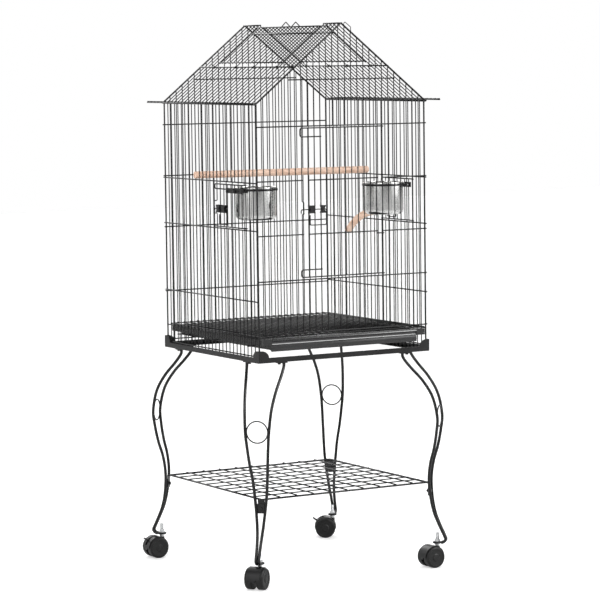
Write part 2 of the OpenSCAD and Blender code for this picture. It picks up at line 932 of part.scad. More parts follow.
module leg_bolts() {
  color(plastic_black)
    for (a = leg_angles)
      rotate([0, 0, a])
        for (s = [-1, 1])
          on_pad(s)
            translate([leg_pad_bolt, 0, frame_z - 2.6]) {
              translate([0, 0, -3])
                cylinder(h = 3, r = 4, $fn = 6);
              translate([0, 0, -0.5])
                cylinder(h = 4.6, r = 2, $fn = 24);
            }
}

module shelf() {
  border_d = 4.5;
  wire_d = 3;
  cells = 10;
  half = 225;
  top_z = shelf_z + 3.2;
  cross_z = shelf_z + 0.7;
  color(wire_black) {
    for (s = [-1, 1]) {
      bar_x(-half - 2, half + 2, s * half, shelf_z, border_d);
      bar_y(s * half, -half - 2, half + 2, shelf_z, border_d);
    }
    for (i = [1 : cells - 1]) {
      at = -half + i * 2 * half / cells;
      bar_y(at, -half - 5, half, top_z, wire_d);
      bar_x(-half, half + 5, at, cross_z, wire_d);
    }
    for (a = leg_angles)
      rotate([0, 0, a])
        difference() {
          union() {
            translate([311, -8, shelf_z - 1.5])
              cube([leg_plate_x - 1.6 - 311, 16, 3]);
            translate([leg_plate_x - 4.1, -8, leg_plate_z - 10])
              cube([2.5, 16, shelf_z - leg_plate_z + 11]);
          }
          translate([leg_plate_x - 8, 0, leg_plate_z])
            rotate([0, 90, 0])
              cylinder(h = 10, r = 2.2, $fn = 24);
        }
  }
}

module shelf_screws() {
  color(plastic_black)
    for (a = leg_angles)
      rotate([0, 0, a])
        translate([leg_plate_x + 1.5, 0, leg_plate_z])
          rotate([0, 90, 0]) {
            cylinder(h = 2.4, r = 4, $fn = 24);
            translate([0, 0, -10])
              cylinder(h = 10.2, r = 2, $fn = 24);
            translate([0, 0, -8.8])
              cylinder(h = 3, r = 4, $fn = 6);
          }
}

// ---------- casters ----------

caster_turns = [218.4, 180, 180, 149];

// Puts children on a caster: 0 near, 1 left, 2 right, 3 back
module at_caster(i) {
  spot = stem_x * [cos(leg_angles[i]), sin(leg_angles[i])];
  translate([spot[0], spot[1], 0])
    rotate([0, 0, caster_turns[i]])
      children();
}

module caster_stem() {
  collar_z = 50;
  color(zinc) {
    translate([0, 0, 36.5])
      cylinder(h = 44.5, r = stem_r, $fn = 32);
    translate([0, 0, collar_z])
      cylinder(h = foot_z - foot_t / 2 - collar_z, r = 5.6, $fn = 32);
    translate([0, 0, foot_z + foot_t / 2])
      cylinder(h = 5.5, r = 6.9, $fn = 6);
  }
}

// A web between the wheels, a cover over their upper halves, and a neck for the stem
module caster_hood(braked) {
  cover_r = wheel_r + cover_gap;
  web_low = 20;
  bore_z = 36;
  color(plastic_black)
    difference() {
      union() {
        translate([caster_trail, hood_half, wheel_r])
          rotate([90, 0, 0])
            linear_extrude(height = 2 * hood_half)
              intersection() {
                circle(r = cover_r + cover_t / 2, $fn = 64);
                translate([-2 * wheel_r, web_low - wheel_r])
                  square([4 * wheel_r, 3 * wheel_r]);
              }
        translate([0, 0, bore_z - 2])
          cylinder(h = 14.5, r = neck_r, $fn = 32);
        translate([caster_trail, cover_half, wheel_r])
          rotate([90, 0, 0])
            linear_extrude(height = 2 * cover_half)
              difference() {
                circle(r = cover_r + cover_t, $fn = 64);
                circle(r = cover_r, $fn = 64);
                translate([-2 * wheel_r, -2 * wheel_r])
                  square([4 * wheel_r, 2 * wheel_r]);
              }
      }
      translate([0, 0, bore_z])
        cylinder(h = 20, r = stem_r + run, $fn = 32);
      translate([caster_trail, 20, wheel_r])
        rotate([90, 0, 0])
          cylinder(h = 40, r = axle_r + run, $fn = 32);
      if (braked)
        translate([22, -lever_half - 0.4, 31])
          cube([30, 2 * lever_half + 0.8, 30]);
    }
  if (braked)
    color(plastic_black)
      translate([brake_pivot[0], hood_half - 0.6, brake_pivot[1]])
        rotate([90, 0, 0])
          cylinder(h = 2 * hood_half - 1.2, r = 1.5, $fn = 24);
}

module caster_wheels() {
  face = wheel_out - wheel_in;
  color(plastic_black)
    for (s = [-1, 1])
      translate([caster_trail, 0, wheel_r])
        rotate([-90, 0, 0])
          scale([1, 1, s])
            translate([0, 0, wheel_in])
              rotate_extrude($fn = 96)
                polygon([
                  [axle_r, 0], [wheel_r - 1, 0], [wheel_r, 1.5], [wheel_r, face - 3.1],
                  [wheel_r - 2.5, face - 0.7], [19.5, face], [18.5, face - 1.3], [5, face - 1.3],
                  [0, face - 0.7], [0, face - 2.7], [axle_r, face - 2.7]
                ]);
}

module caster_axle() {
  half = wheel_out - 3.1;
  color(zinc)
    translate([caster_trail, half, wheel_r])
      rotate([90, 0, 0])
        cylinder(h = 2 * half, r = axle_r, $fn = 32);
}

module brake_lever() {
  color(plastic_black)
    difference() {
      union() {
        translate([brake_pivot[0], lever_half, brake_pivot[1]])
          rotate([90, 0, 0])
            cylinder(h = 2 * lever_half, r = 3.6, $fn = 32);
        translate([brake_pivot[0], lever_half, brake_pivot[1]])
          rotate([90, 0, 0])
            linear_extrude(height = 2 * lever_half)
              polygon([[0, 1], [3.2, -1.6], [15, 5], [21, 10.5], [19.5, 12.8], [13, 8.2], [0, 3.6]]);
      }
      translate([brake_pivot[0], 10, brake_pivot[1]])
        rotate([90, 0, 0])
          cylinder(h = 20, r = 1.5 + run, $fn = 24);
    }
}

stand_top_frame();
near_leg();
left_leg();
right_leg();
back_leg();
leg_bolts();
shelf();
shelf_screws();
at_caster(0) caster_stem();  // near_caster_stem
at_caster(0) caster_hood(false);  // near_caster_hood
at_caster(0) caster_wheels();  // near_caster_wheels
at_caster(0) caster_axle();  // near_caster_axle
at_caster(1) caster_stem();  // left_caster_stem
at_caster(1) caster_hood(true);  // left_caster_hood
at_caster(1) caster_wheels();  // left_caster_wheels
at_caster(1) caster_axle();  // left_caster_axle
at_caster(1) brake_lever();  // left_brake_lever
at_caster(2) caster_stem();  // right_caster_stem
at_caster(2) caster_hood(false);  // right_caster_hood
at_caster(2) caster_wheels();  // right_caster_wheels
at_caster(2) caster_axle();  // right_caster_axle
at_caster(3) caster_stem();  // back_caster_stem
at_caster(3) caster_hood(true);  // back_caster_hood
at_caster(3) caster_wheels();  // back_caster_wheels
at_caster(3) caster_axle();  // back_caster_axle
at_caster(3) brake_lever();  // back_brake_lever
front_panel();
back_panel();
left_panel();
right_panel();
left_roof();
right_roof();
left_roof_flap();
right_roof_flap();
main_door();
main_door_latch();
main_door_guides();
left_feeder_door();
left_feeder_latch();
left_feeder_guides();
right_feeder_door();
right_feeder_latch();
right_feeder_guides();
left_cup_holder();
left_cup_clamp();
left_cup();
right_cup_holder();
right_cup_clamp();
right_cup();
long_perch();
curved_perch();
curved_perch_bolt();
floor_grille();
tray();
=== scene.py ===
import json
import math

import bmesh
import bpy
from mathutils import Matrix, Quaternion, Vector


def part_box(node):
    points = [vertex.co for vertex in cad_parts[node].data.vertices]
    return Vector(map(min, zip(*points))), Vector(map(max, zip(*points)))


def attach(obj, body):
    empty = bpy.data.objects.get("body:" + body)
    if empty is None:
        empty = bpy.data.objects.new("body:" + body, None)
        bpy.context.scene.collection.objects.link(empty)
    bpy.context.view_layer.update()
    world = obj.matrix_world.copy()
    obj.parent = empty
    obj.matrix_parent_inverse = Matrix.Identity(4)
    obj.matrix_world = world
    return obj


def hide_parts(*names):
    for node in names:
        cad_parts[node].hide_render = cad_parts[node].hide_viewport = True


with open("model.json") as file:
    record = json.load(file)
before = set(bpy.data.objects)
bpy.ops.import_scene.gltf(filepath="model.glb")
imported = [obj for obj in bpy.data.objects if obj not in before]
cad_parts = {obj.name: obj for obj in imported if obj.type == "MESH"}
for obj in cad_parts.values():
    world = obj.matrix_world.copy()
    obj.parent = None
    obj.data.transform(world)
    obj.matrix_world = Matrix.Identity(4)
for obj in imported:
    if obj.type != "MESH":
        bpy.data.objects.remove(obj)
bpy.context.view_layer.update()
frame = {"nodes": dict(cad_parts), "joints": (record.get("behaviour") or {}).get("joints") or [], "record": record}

# The object's lengths are in millimetres in the row frame, and its meshes are scaled to metres when made.
# The stage, the lights, the camera and the bumps of the materials are in metres.
MM = 0.001


def node_box(name):
    """Lowest and highest corner of a CAD node, in millimetres."""
    low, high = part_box(name)
    return low / MM, high / MM


# ---------- the cage's grid, driven by the frame ----------

# How far a wire around the cage runs past the corner bars
RING_OVER = 3
HALF_W = node_box("front_panel")[1].x - RING_OVER
HALF_D = node_box("left_panel")[1].y - RING_OVER
# Diameters of the bars and of the wires across them, and the step between their middles at a weld
BAR = 2.4
RING = 3.0
WELD = 2.2
# How far a bar runs past the middle of the wire that it is welded to
TIP = BAR / 2
EAVE_Z = 1102
RIDGE_Z = 1282
# Bars are counted from the left on the front and back, and from the front on the sides and roof
FRONT_GAPS = 27
SIDE_GAPS = 26
SIDE_END = HALF_D - 2.7
FRONT_PITCH = 2 * HALF_W / FRONT_GAPS
SIDE_PITCH = 2 * SIDE_END / SIDE_GAPS
PANEL_FOOT = node_box("back_panel")[0].z
FRONT_BOTTOM = 576
FRONT_RINGS = (697.5, 801.3, 925)
FRONT_TOP_RING = 1048.4
BACK_RINGS = (531, 648, 802.4, 925, 1047.3)
SIDE_LOW_RINGS = (527, 652)
FEEDER_LOW, FEEDER_HIGH = 812.8, 921.4
SIDE_TOP = 1099
GABLE_RING_Z = 1154
GABLE_RING_BARS = (5, 22)
MAIN_BARS = (8, 19)
MAIN_KEEPER, MAIN_HINGE = 7, 20
FEEDER_BARS = (4, 10)
FEEDER_KEEPER, FEEDER_HINGE = 11, 3
DOOR_OUT = 0.6
# Where a door's cross wires end: short of the hinge bar, and past the keeper bar
HINGE_GAP, KEEPER_REACH = 1.6, 6.5
DOOR_LOW, DOOR_HIGH = 703, 1044
LATCH_Z = 858
KEEPER_BUMP = (LATCH_Z - 11, LATCH_Z + 18)
BUMP_OUT = 8

SLOPE = math.atan2(RIDGE_Z - EAVE_Z, HALF_W)
SLOPE_LEN = math.hypot(RIDGE_Z - EAVE_Z, HALF_W)
MID_V = 0.44 * SLOPE_LEN
FLAP_BARS = (5, 21)
PAST_FLAP = FLAP_BARS[1] + 1
FLAP_LOW = MID_V + 17
FLAP_TOP = 0.958 * SLOPE_LEN
FLAP_RAIL = 0.87 * SLOPE_LEN
ROOF_RING = 3.2
ROOF_END = 224
FLANGE_W = 46
FLANGE_RISE = 2


def front_x(i):
    return -HALF_W + i * FRONT_PITCH


def side_y(i):
    return -SIDE_END + i * SIDE_PITCH


def gable_z(x):
    return EAVE_Z + (RIDGE_Z - EAVE_Z) * (1 - abs(x) / HALF_W)


# ---------- mesh building ----------

MIRROR = Matrix.Scale(-1, 4, (1, 0, 0))


class Shape:
    """Collects vertices and faces. Points are placed by the matrix in `place` as they are added."""

    def __init__(self, place=None):
        self.verts, self.faces = [], []
        self.place = place or Matrix.Identity(4)

    def add(self, points, faces):
        start = len(self.verts)
        self.verts += [self.place @ Vector(p) for p in points]
        flip = self.place.determinant() < 0
        for f in faces:
            f = [start + i for i in f]
            self.faces.append(f[::-1] if flip else f)

    def tube(self, path, d, sides=12, closed=False):
        """A round wire along path, with softly rounded ends."""
        path = [Vector(p) for p in path]
        r, n = d / 2, len(path)
        stations = []
        normal = None
        for i, p in enumerate(path):
            a = path[(i - 1) % n] if closed or i > 0 else p
            b = path[(i + 1) % n] if closed or i < n - 1 else p
            along = (b - a).normalized()
            if normal is None:
                normal = along.orthogonal().normalized()
            normal = (normal - along * normal.dot(along)).normalized()
            stations.append((p, r, normal.copy(), along.cross(normal)))
        if not closed:
            first, last = stations[0], stations[-1]
            head = (path[0] - path[1]).normalized() * r * 0.35
            tail = (path[-1] - path[-2]).normalized() * r * 0.35
            stations[0] = (first[0] - head, *first[1:])
            stations[-1] = (last[0] - tail, *last[1:])
            stations = [(first[0], r * 0.68, *first[2:]), *stations, (last[0], r * 0.68, *last[2:])]
        points = []
        for p, size, u, w in stations:
            for k in range(sides):
                t = 2 * math.pi * k / sides
                points.append(p + size * (math.cos(t) * u + math.sin(t) * w))
        m = len(stations)
        faces = []
        for i in range(m if closed else m - 1):
            j = (i + 1) % m
            for k in range(sides):
                q = (k + 1) % sides
                faces.append([i * sides + k, i * sides + q, j * sides + q, j * sides + k])
        if not closed:
            faces.append(list(range(sides))[::-1])
            faces.append([(m - 1) * sides + k for k in range(sides)])
        self.add(points, faces)

    def rod(self, p, q, d, sides=12):
        self.tube([p, q], d, sides)

    def wire(self, corners, d, bend=3.5, sides=12):
        """A wire bent at each corner to an inside radius of about `bend`."""
        self.tube(rounded(corners, bend), d, sides)

    def lathe(self, profile, centre, segments=96, closed=False):
        """Profile points (r, z) turned around a vertical axis through centre."""
        c = Vector(centre)
        points, faces = [], []
        for r, z in profile:
            for k in range(segments):
                t = 2 * math.pi * k / segments
                points.append(c + Vector((r * math.cos(t), r * math.sin(t), z)))
        m = len(profile)
        for i in range(m if closed else m - 1):
            j = (i + 1) % m
            for k in range(segments):
                q = (k + 1) % segments
                faces.append([i * segments + k, i * segments + q, j * segments + q, j * segments + k])
        if not closed:
            faces.append(list(range(segments))[::-1])
            faces.append([(m - 1) * segments + k for k in range(segments)])
        self.add(points, faces)

    def block(self, low, high):
        x, y, z = zip(low, high)
        points = [(x[i & 1], y[i >> 1 & 1], z[i >> 2]) for i in range(8)]
        self.add(points, [[0, 2, 3, 1], [4, 5, 7, 6], [0, 1, 5, 4], [2, 6, 7, 3], [0, 4, 6, 2], [1, 3, 7, 5]])

    def prism(self, outline, start, end):
        """outline is a closed list of points; the prism runs from it by the vectors start and end."""
        n = len(outline)
        points = [Vector(p) + Vector(start) for p in outline] + [Vector(p) + Vector(end) for p in outline]
        faces = [[i, (i + 1) % n, n + (i + 1) % n, n + i] for i in range(n)]
        faces += [list(range(n))[::-1], list(range(n, 2 * n))]
        self.add(points, faces)


def rounded(corners, bend, steps=5):
    """The polyline with each inner corner turned into an arc."""
    corners = [Vector(c) for c in corners]
    path = [corners[0]]
    for a, b, c in zip(corners, corners[1:], corners[2:]):
        u, w = (a - b).normalized(), (c - b).normalized()
        half = u.angle(w) / 2
        reach = min(bend / math.tan(half), 0.49 * (a - b).length, 0.49 * (c - b).length)
        p, q = b + u * reach, b + w * reach
        centre = b + (u + w).normalized() * reach / math.cos(half)
        r = (p - centre).length
        for k in range(steps + 1):
            t = k / steps
            path.append(centre + (p - centre).lerp(q - centre, t).normalized() * r)
    path.append(corners[-1])
    return path


def catmull(points, steps):
    """A smooth curve through the points."""
    p = [Vector(q) for q in points]
    out = []
    for i in range(len(p) - 1):
        a, b, c, d = p[max(i - 1, 0)], p[i], p[i + 1], p[min(i + 2, len(p) - 1)]
        for k in range(steps):
            t = k / steps
            bend = (2 * a - 5 * b + 4 * c - d) + t * (3 * b - a - 3 * c + d)
            out.append(b + t / 2 * ((c - a) + t * bend))
    return out + [p[-1]]


def piece(name, shape, body, slot, nodes=(), bevel=0.0, segments=2, smooth=50):
    """Makes one object of a Shape, in metres, and ties it to its CAD body and nodes."""
    mesh = bpy.data.meshes.new(name)
    mesh.from_pydata([v * MM for v in shape.verts], [], shape.faces)
    return finished(name, mesh, body, slot, nodes, bevel, segments, smooth)


def finished(name, mesh, body, slot, nodes=(), bevel=0.0, segments=2, smooth=50):
    bm = bmesh.new()
    bm.from_mesh(mesh)
    bmesh.ops.recalc_face_normals(bm, faces=bm.faces)
    bm.to_mesh(mesh)
    bm.free()
    mesh.shade_smooth()
    mesh.set_sharp_from_angle(angle=math.radians(smooth))
    obj = bpy.data.objects.new(name, mesh)
    bpy.context.scene.collection.objects.link(obj)
    obj.data.materials.clear()
    obj.data.materials.append(LOOKS[slot])
    if bevel:
        m = obj.modifiers.new("edges", "BEVEL")
        m.width = bevel * MM
        m.segments = segments
        m.limit_method = "ANGLE"
        m.angle_limit = math.radians(40)
        m.harden_normals = True
    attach(obj, body)
    if nodes:
        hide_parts(*nodes)
    return obj


def softened(node, body, slot, bevel, name=None, segments=3):
    """A copy of a CAD node with its flats merged and its edges rounded, as moulded or pressed parts have."""
    mesh = frame["nodes"][node].data.copy()
    bm = bmesh.new()
    bm.from_mesh(mesh)
    bmesh.ops.remove_doubles(bm, verts=bm.verts, dist=0.00001)
    bmesh.ops.dissolve_limit(bm, angle_limit=math.radians(1), verts=bm.verts, edges=bm.edges)
    bm.to_mesh(mesh)
    bm.free()
    return finished(name or node + "_body", mesh, body, slot, [node], bevel, segments, 35)


# ---------- materials ----------


class Look:
    """A Principled material with small helpers for its nodes."""

    def __init__(self, name, **values):
        self.material = bpy.data.materials.new(name)
        self.material.use_nodes = True
        self.tree = self.material.node_tree
        self.shader = self.tree.nodes["Principled BSDF"]
        self.coords = self.tree.nodes.new("ShaderNodeTexCoord").outputs["Object"]
        for key, value in values.items():
            self.shader.inputs[key.replace("_", " ").title() if key != "IOR" else key].default_value = value

    def node(self, kind, inputs=None, **settings):
        n = self.tree.nodes.new("ShaderNode" + kind)
        for key, value in settings.items():
            setattr(n, key, value)
        for key, value in (inputs or {}).items():
            if isinstance(value, bpy.types.NodeSocket):
                self.tree.links.new(value, n.inputs[key])
            else:
                n.inputs[key].default_value = value
        return n

    def stretched(self, scale):
        return self.node("Mapping", {"Vector": self.coords, "Scale": scale}).outputs["Vector"]

    def noise(self, scale, detail=3.0, rough=0.5, vector=None):
        n = self.node("TexNoise", {"Scale": scale, "Detail": detail, "Roughness": rough})
        self.tree.links.new(vector or self.coords, n.inputs["Vector"])
        return n.outputs["Fac"]

    def ramp(self, fac, stops):
        n = self.node("ValToRGB", {"Fac": fac})
        ramp = n.color_ramp
        while len(ramp.elements) < len(stops):
            ramp.elements.new(0.5)
        for e, (at, colour) in zip(ramp.elements, stops):
            e.position = at
            e.color = (*colour, 1)
        return n.outputs["Color"]

    def spread(self, fac, low, high, start=0.3, stop=0.7):
        ends = {"From Min": start, "From Max": stop, "To Min": low, "To Max": high}
        return self.node("MapRange", {"Value": fac, **ends}).outputs["Result"]

    def mixed(self, fac, a, b):
        n = self.node("Mix", {"Factor": fac}, data_type="RGBA")
        for key, value in ((6, a), (7, b)):
            if isinstance(value, bpy.types.NodeSocket):
                self.tree.links.new(value, n.inputs[key])
            else:
                n.inputs[key].default_value = (*value, 1)
        return n.outputs[2]

    def feed(self, socket, value):
        self.tree.links.new(value, self.shader.inputs[socket])

    def bumps(self, *layers):
        """Layers of (height, distance in metres), the finest last."""
        normal = None
        for height, distance in layers:
            n = self.node("Bump", {"Height": height, "Distance": distance, "Strength": 1.0})
            if normal:
                self.tree.links.new(normal, n.inputs["Normal"])
            normal = n.outputs["Normal"]
        self.feed("Normal", normal)


def powder_coat(name, dark, light, gloss, shine):
    """Black powder coat: a fine orange-peel skin with slightly uneven gloss."""
    look = Look(name, metallic=0.0, IOR=1.5)
    look.shader.inputs["Specular IOR Level"].default_value = shine
    patches = look.noise(14, 4)
    skin = look.noise(900, 2)
    look.feed("Base Color", look.ramp(patches, [(0.3, dark), (0.7, light)]))
    look.feed("Roughness", look.spread(patches, gloss - 0.06, gloss + 0.08))
    look.bumps((skin, 0.00006), (look.noise(2600, 2), 0.00002))
    return look.material


def moulded(name, dark, light, gloss, grain, shine):
    """Moulded plastic with a fine spark-eroded grain, and dust-like scuffs where it is handled."""
    look = Look(name, IOR=1.48)
    look.shader.inputs["Specular IOR Level"].default_value = shine
    clouds = look.noise(9, 5, 0.6)
    scuffs = look.noise(160, 6, 0.7, look.stretched((1, 4, 2.2)))
    base = look.ramp(clouds, [(0.3, dark), (0.72, light)])
    worn = [c * 1.9 for c in light]
    look.feed("Base Color", look.mixed(look.spread(scuffs, 0, 0.35, 0.58, 0.8), base, worn))
    look.feed("Roughness", look.spread(scuffs, gloss, gloss + 0.16, 0.4, 0.75))
    look.bumps((look.noise(grain, 2), 0.00005), (look.noise(grain * 3, 2), 0.00002))
    return look.material


def plated(name, dark, light, gloss):
    """Bright zinc plate, a little cloudy."""
    look = Look(name, metallic=1.0)
    clouds = look.noise(120, 4)
    look.feed("Base Color", look.ramp(clouds, [(0.3, dark), (0.7, light)]))
    look.feed("Roughness", look.spread(clouds, gloss, gloss + 0.15))
    look.bumps((look.noise(1800, 2), 0.00002))
    return look.material


def polished_steel(name):
    """Spun and polished stainless steel: faint rings around the cup, and a few fine scratches."""
    look = Look(name, metallic=1.0)
    rings = look.noise(1.0, 4, 0.6, look.stretched((6, 6, 2600)))
    scratches = look.noise(1.0, 3, 0.5, look.stretched((500, 700, 40)))
    smears = look.noise(45, 3)
    look.feed("Base Color", look.ramp(smears, [(0.3, (0.7, 0.7, 0.69)), (0.7, (0.82, 0.82, 0.81))]))
    look.feed("Roughness", look.spread(smears, 0.1, 0.17))
    look.bumps((rings, 0.000002), (scratches, 0.000002))
    return look.material


def smooth_wood(name, along):
    """Turned beech: long pale grain, short dark flecks and a soft sheen, stretched `along` the stick."""
    look = Look(name, IOR=1.45)
    grain = look.noise(1.0, 6, 0.62, look.stretched([40 if a else 420 for a in along]))
    bands = look.noise(1.0, 3, 0.5, look.stretched([9 if a else 95 for a in along]))
    flecks = look.noise(1.0, 2, 0.5, look.stretched([150 if a else 1500 for a in along]))
    tones = [(0.32, (0.76, 0.49, 0.36)), (0.5, (0.84, 0.58, 0.44)), (0.7, (0.89, 0.66, 0.53))]
    base = look.ramp(bands, tones)
    lined = look.mixed(look.spread(grain, 0, 0.5, 0.52, 0.74), base, (0.66, 0.39, 0.27))
    look.feed("Base Color", look.mixed(look.spread(flecks, 0, 0.6, 0.66, 0.76), lined, (0.48, 0.26, 0.16)))
    look.feed("Roughness", look.spread(grain, 0.42, 0.6))
    look.bumps((grain, 0.0001), (flecks, 0.00005))
    return look.material


LOOKS = {
    "wire_black": powder_coat("wire_black", (0.006, 0.006, 0.006), (0.011, 0.011, 0.012), 0.32, 0.22),
    "frame_black": powder_coat("frame_black", (0.006, 0.006, 0.006), (0.010, 0.010, 0.011), 0.28, 0.3),
    "tray_black": moulded("tray_black", (0.006, 0.006, 0.006), (0.010, 0.010, 0.011), 0.18, 1400, 0.6),
    "clip_black": moulded("clip_black", (0.005, 0.005, 0.005), (0.009, 0.009, 0.010), 0.34, 1700, 0.3),
    "caster_black": moulded("caster_black", (0.006, 0.006, 0.006), (0.011, 0.011, 0.012), 0.32, 1500, 0.35),
    "wheel_black": moulded("wheel_black", (0.006, 0.006, 0.006), (0.011, 0.011, 0.011), 0.42, 1100, 0.3),
    "zinc": plated("zinc", (0.5, 0.51, 0.52), (0.72, 0.73, 0.74), 0.22),
    "stainless": polished_steel("stainless"),
    "wood": smooth_wood("wood", (True, False, False)),
}
SLOTS = {part["node"]: part["material_slot"] for part in frame["record"]["subparts"]}


def dress_cad_nodes():
    """Nodes whose CAD shape is right are shown as they are, with the same looks."""
    for name, obj in frame["nodes"].items():
        for s in obj.material_slots:
            s.material = LOOKS[SLOTS[name]]


# ---------- placing helpers ----------


def shifted(x=0, y=0, z=0):
    return Matrix.Translation((x, y, z))


def turned(degrees, axis="Z"):
    return Matrix.Rotation(math.radians(degrees), 4, axis)


def left_wall(i):
    """The frame of an upright bar on the left wall: X towards the front, -Y outward."""
    return shifted(-HALF_W, side_y(i)) @ turned(-90)


LEFT_SLOPE = shifted(-HALF_W, 0, EAVE_Z) @ turned(-math.degrees(SLOPE), "Y")


# ---------- cage panels ----------


def keeper_bar(shape, low, high):
    """An upright bar that steps outward around the end of a latch."""
    a, b = KEEPER_BUMP
    corners = [(0, 0, low), (0, 0, a), (0, -BUMP_OUT, a), (0, -BUMP_OUT, b), (0, 0, b), (0, 0, high)]
    shape.wire(corners, BAR, 2.6)


def gable(shape, starts):
    for i, low in enumerate(starts):
        if low is not None:
            x = front_x(i)
            shape.rod((x, 0, low), (x, 0, gable_z(x) + (1 if i in (0, FRONT_GAPS) else 0)), BAR)
    # the right rafter is a little thinner, so the two cross cleanly at the peak
    for s, d in ((-1, RING), (1, RING - 0.3)):
        shape.rod((s * HALF_W, -WELD, EAVE_Z), (-s * 0.6, -WELD, RIDGE_Z + 0.5), d)
    a, b = (front_x(i) for i in GABLE_RING_BARS)
    shape.rod((a - 1, -WELD, GABLE_RING_Z), (b + 1, -WELD, GABLE_RING_Z), RING)


def full_ring(shape, z):
    shape.rod((-HALF_W - RING_OVER, -WELD, z), (HALF_W + RING_OVER, -WELD, z), RING)


def front_panel():
    shape = Shape(shifted(0, -HALF_D))
    first, last = MAIN_BARS
    starts = []
    for i in range(FRONT_GAPS + 1):
        if first <= i <= last:
            starts.append(FRONT_TOP_RING - TIP)
        elif i == MAIN_KEEPER:
            starts.append(None)
        else:
            starts.append(PANEL_FOOT if i in (0, FRONT_GAPS) else FRONT_BOTTOM - TIP)
    gable(shape, starts)
    for i in range(first, last + 1):
        shape.rod((front_x(i), 0, FRONT_BOTTOM - TIP), (front_x(i), 0, FRONT_RINGS[0] + TIP), BAR)
    for z in (FRONT_BOTTOM, FRONT_RINGS[0], FRONT_TOP_RING):
        full_ring(shape, z)
    for z in FRONT_RINGS[1:]:
        shape.rod((-HALF_W - RING_OVER, -WELD, z), (front_x(MAIN_KEEPER) + 1, -WELD, z), RING)
        shape.rod((front_x(MAIN_HINGE) - 1, -WELD, z), (HALF_W + RING_OVER, -WELD, z), RING)
    hook = [(6, -5), (8.5, 3), (25, -9.5), (25, -19)]
    shape.wire([(x, -WELD, RIDGE_Z + z) for x, z in hook], 1.8, 2)
    shape.place = shifted(front_x(MAIN_KEEPER), -HALF_D)
    keeper_bar(shape, FRONT_BOTTOM - TIP, gable_z(front_x(MAIN_KEEPER)))
    piece("front_panel_wires", shape, "cage", "wire_black", ["front_panel"])


def back_panel():
    shape = Shape(turned(180) @ shifted(0, -HALF_D))
    gable(shape, [PANEL_FOOT] * (FRONT_GAPS + 1))
    for z in BACK_RINGS:
        full_ring(shape, z)
    piece("back_panel_wires", shape, "cage", "wire_black", ["back_panel"])


GRILLE_Z = 570
RUNNER_X = 207
RUNNER_Z = 559.5
# The tray's runners hang from the side panels at these bars
HANGER_BARS, HANGER_Z = (3, 13, 23), 547


def side_panel(side, flip):
    shape = Shape(flip)
    low, high = FEEDER_BARS
    for i in range(SIDE_GAPS + 1):
        x, y = -HALF_W, side_y(i)
        if low <= i <= high:
            shape.rod((x, y, PANEL_FOOT), (x, y, FEEDER_LOW + TIP), BAR)
            shape.rod((x, y, FEEDER_HIGH - TIP), (x, y, SIDE_TOP + TIP), BAR)
        elif i != FEEDER_KEEPER:
            shape.rod((x, y, PANEL_FOOT), (x, y, SIDE_TOP + TIP), BAR)
    for z in (*SIDE_LOW_RINGS, FEEDER_LOW, FEEDER_HIGH, SIDE_TOP):
        shape.rod((-HALF_W - WELD, -HALF_D - RING_OVER, z), (-HALF_W - WELD, HALF_D + RING_OVER, z), RING)
    ledge = -HALF_W + WELD
    shape.rod((ledge, -SIDE_END - 1, GRILLE_Z - 3), (ledge, SIDE_END + 1, GRILLE_Z - 3), RING)
    shape.rod((-RUNNER_X, -SIDE_END + 8, RUNNER_Z), (-RUNNER_X, SIDE_END - 8, RUNNER_Z), 4)
    for i in HANGER_BARS:
        y = side_y(i) + WELD
        hanger = [(-HALF_W - 0.5, y, HANGER_Z), (-RUNNER_X, y, HANGER_Z), (-RUNNER_X, y, RUNNER_Z)]
        shape.wire(hanger, RING, 3)
    shape.place = flip @ left_wall(FEEDER_KEEPER)
    keeper_bar(shape, PANEL_FOOT, SIDE_TOP + TIP)
    piece(side + "_panel_wires", shape, "cage", "wire_black", [side + "_panel"])


# ---------- roof ----------


def roof(side, flip):
    """Each bar runs down the slope and bends out into the eave flange in one piece."""
    shape = Shape(flip)
    short = range(FLAP_BARS[0], FLAP_BARS[1] + 1)
    for i in range(SIDE_GAPS + 1):
        v = MID_V + TIP if i in short else SLOPE_LEN - 2
        top = LEFT_SLOPE @ Vector((v, side_y(i), 0))
        corners = [(-HALF_W - FLANGE_W, side_y(i), EAVE_Z + FLANGE_RISE), (-HALF_W, side_y(i), EAVE_Z), top]
        shape.wire(corners, BAR, 4)
    for x, z in ((-HALF_W - 7, EAVE_Z + 0.3 - WELD), (-HALF_W - FLANGE_W + 1, EAVE_Z + FLANGE_RISE - WELD)):
        shape.rod((x, -ROOF_END, z), (x, ROOF_END, z), RING)
    shape.place = flip @ LEFT_SLOPE
    shape.rod((MID_V, -ROOF_END, WELD), (MID_V, ROOF_END, WELD), ROOF_RING)
    ridge_v = SLOPE_LEN - 3
    for s in (-1, 1):
        shape.rod((ridge_v, s * (side_y(PAST_FLAP) - 1), WELD), (ridge_v, s * ROOF_END, WELD), RING)
    piece(side + "_roof_wires", shape, "cage", "wire_black", [side + "_roof"])


# The gap between a rolled wire and the bar within it
ROLL_PLAY = 0.06


def curl(shape, centre, u, w, step, radius, d, turns, start=0.0):
    """A wire rolled around an axis: u and w span the roll, and step is its advance per turn."""
    path = []
    count = max(8, round(20 * turns))
    for k in range(count + 1):
        t = start + 2 * math.pi * turns * k / count
        offset = Vector(step) * (turns * (k / count - 0.5))
        path.append(Vector(centre) + offset + radius * (math.cos(t) * Vector(u) + math.sin(t) * Vector(w)))
    shape.tube(path, d)


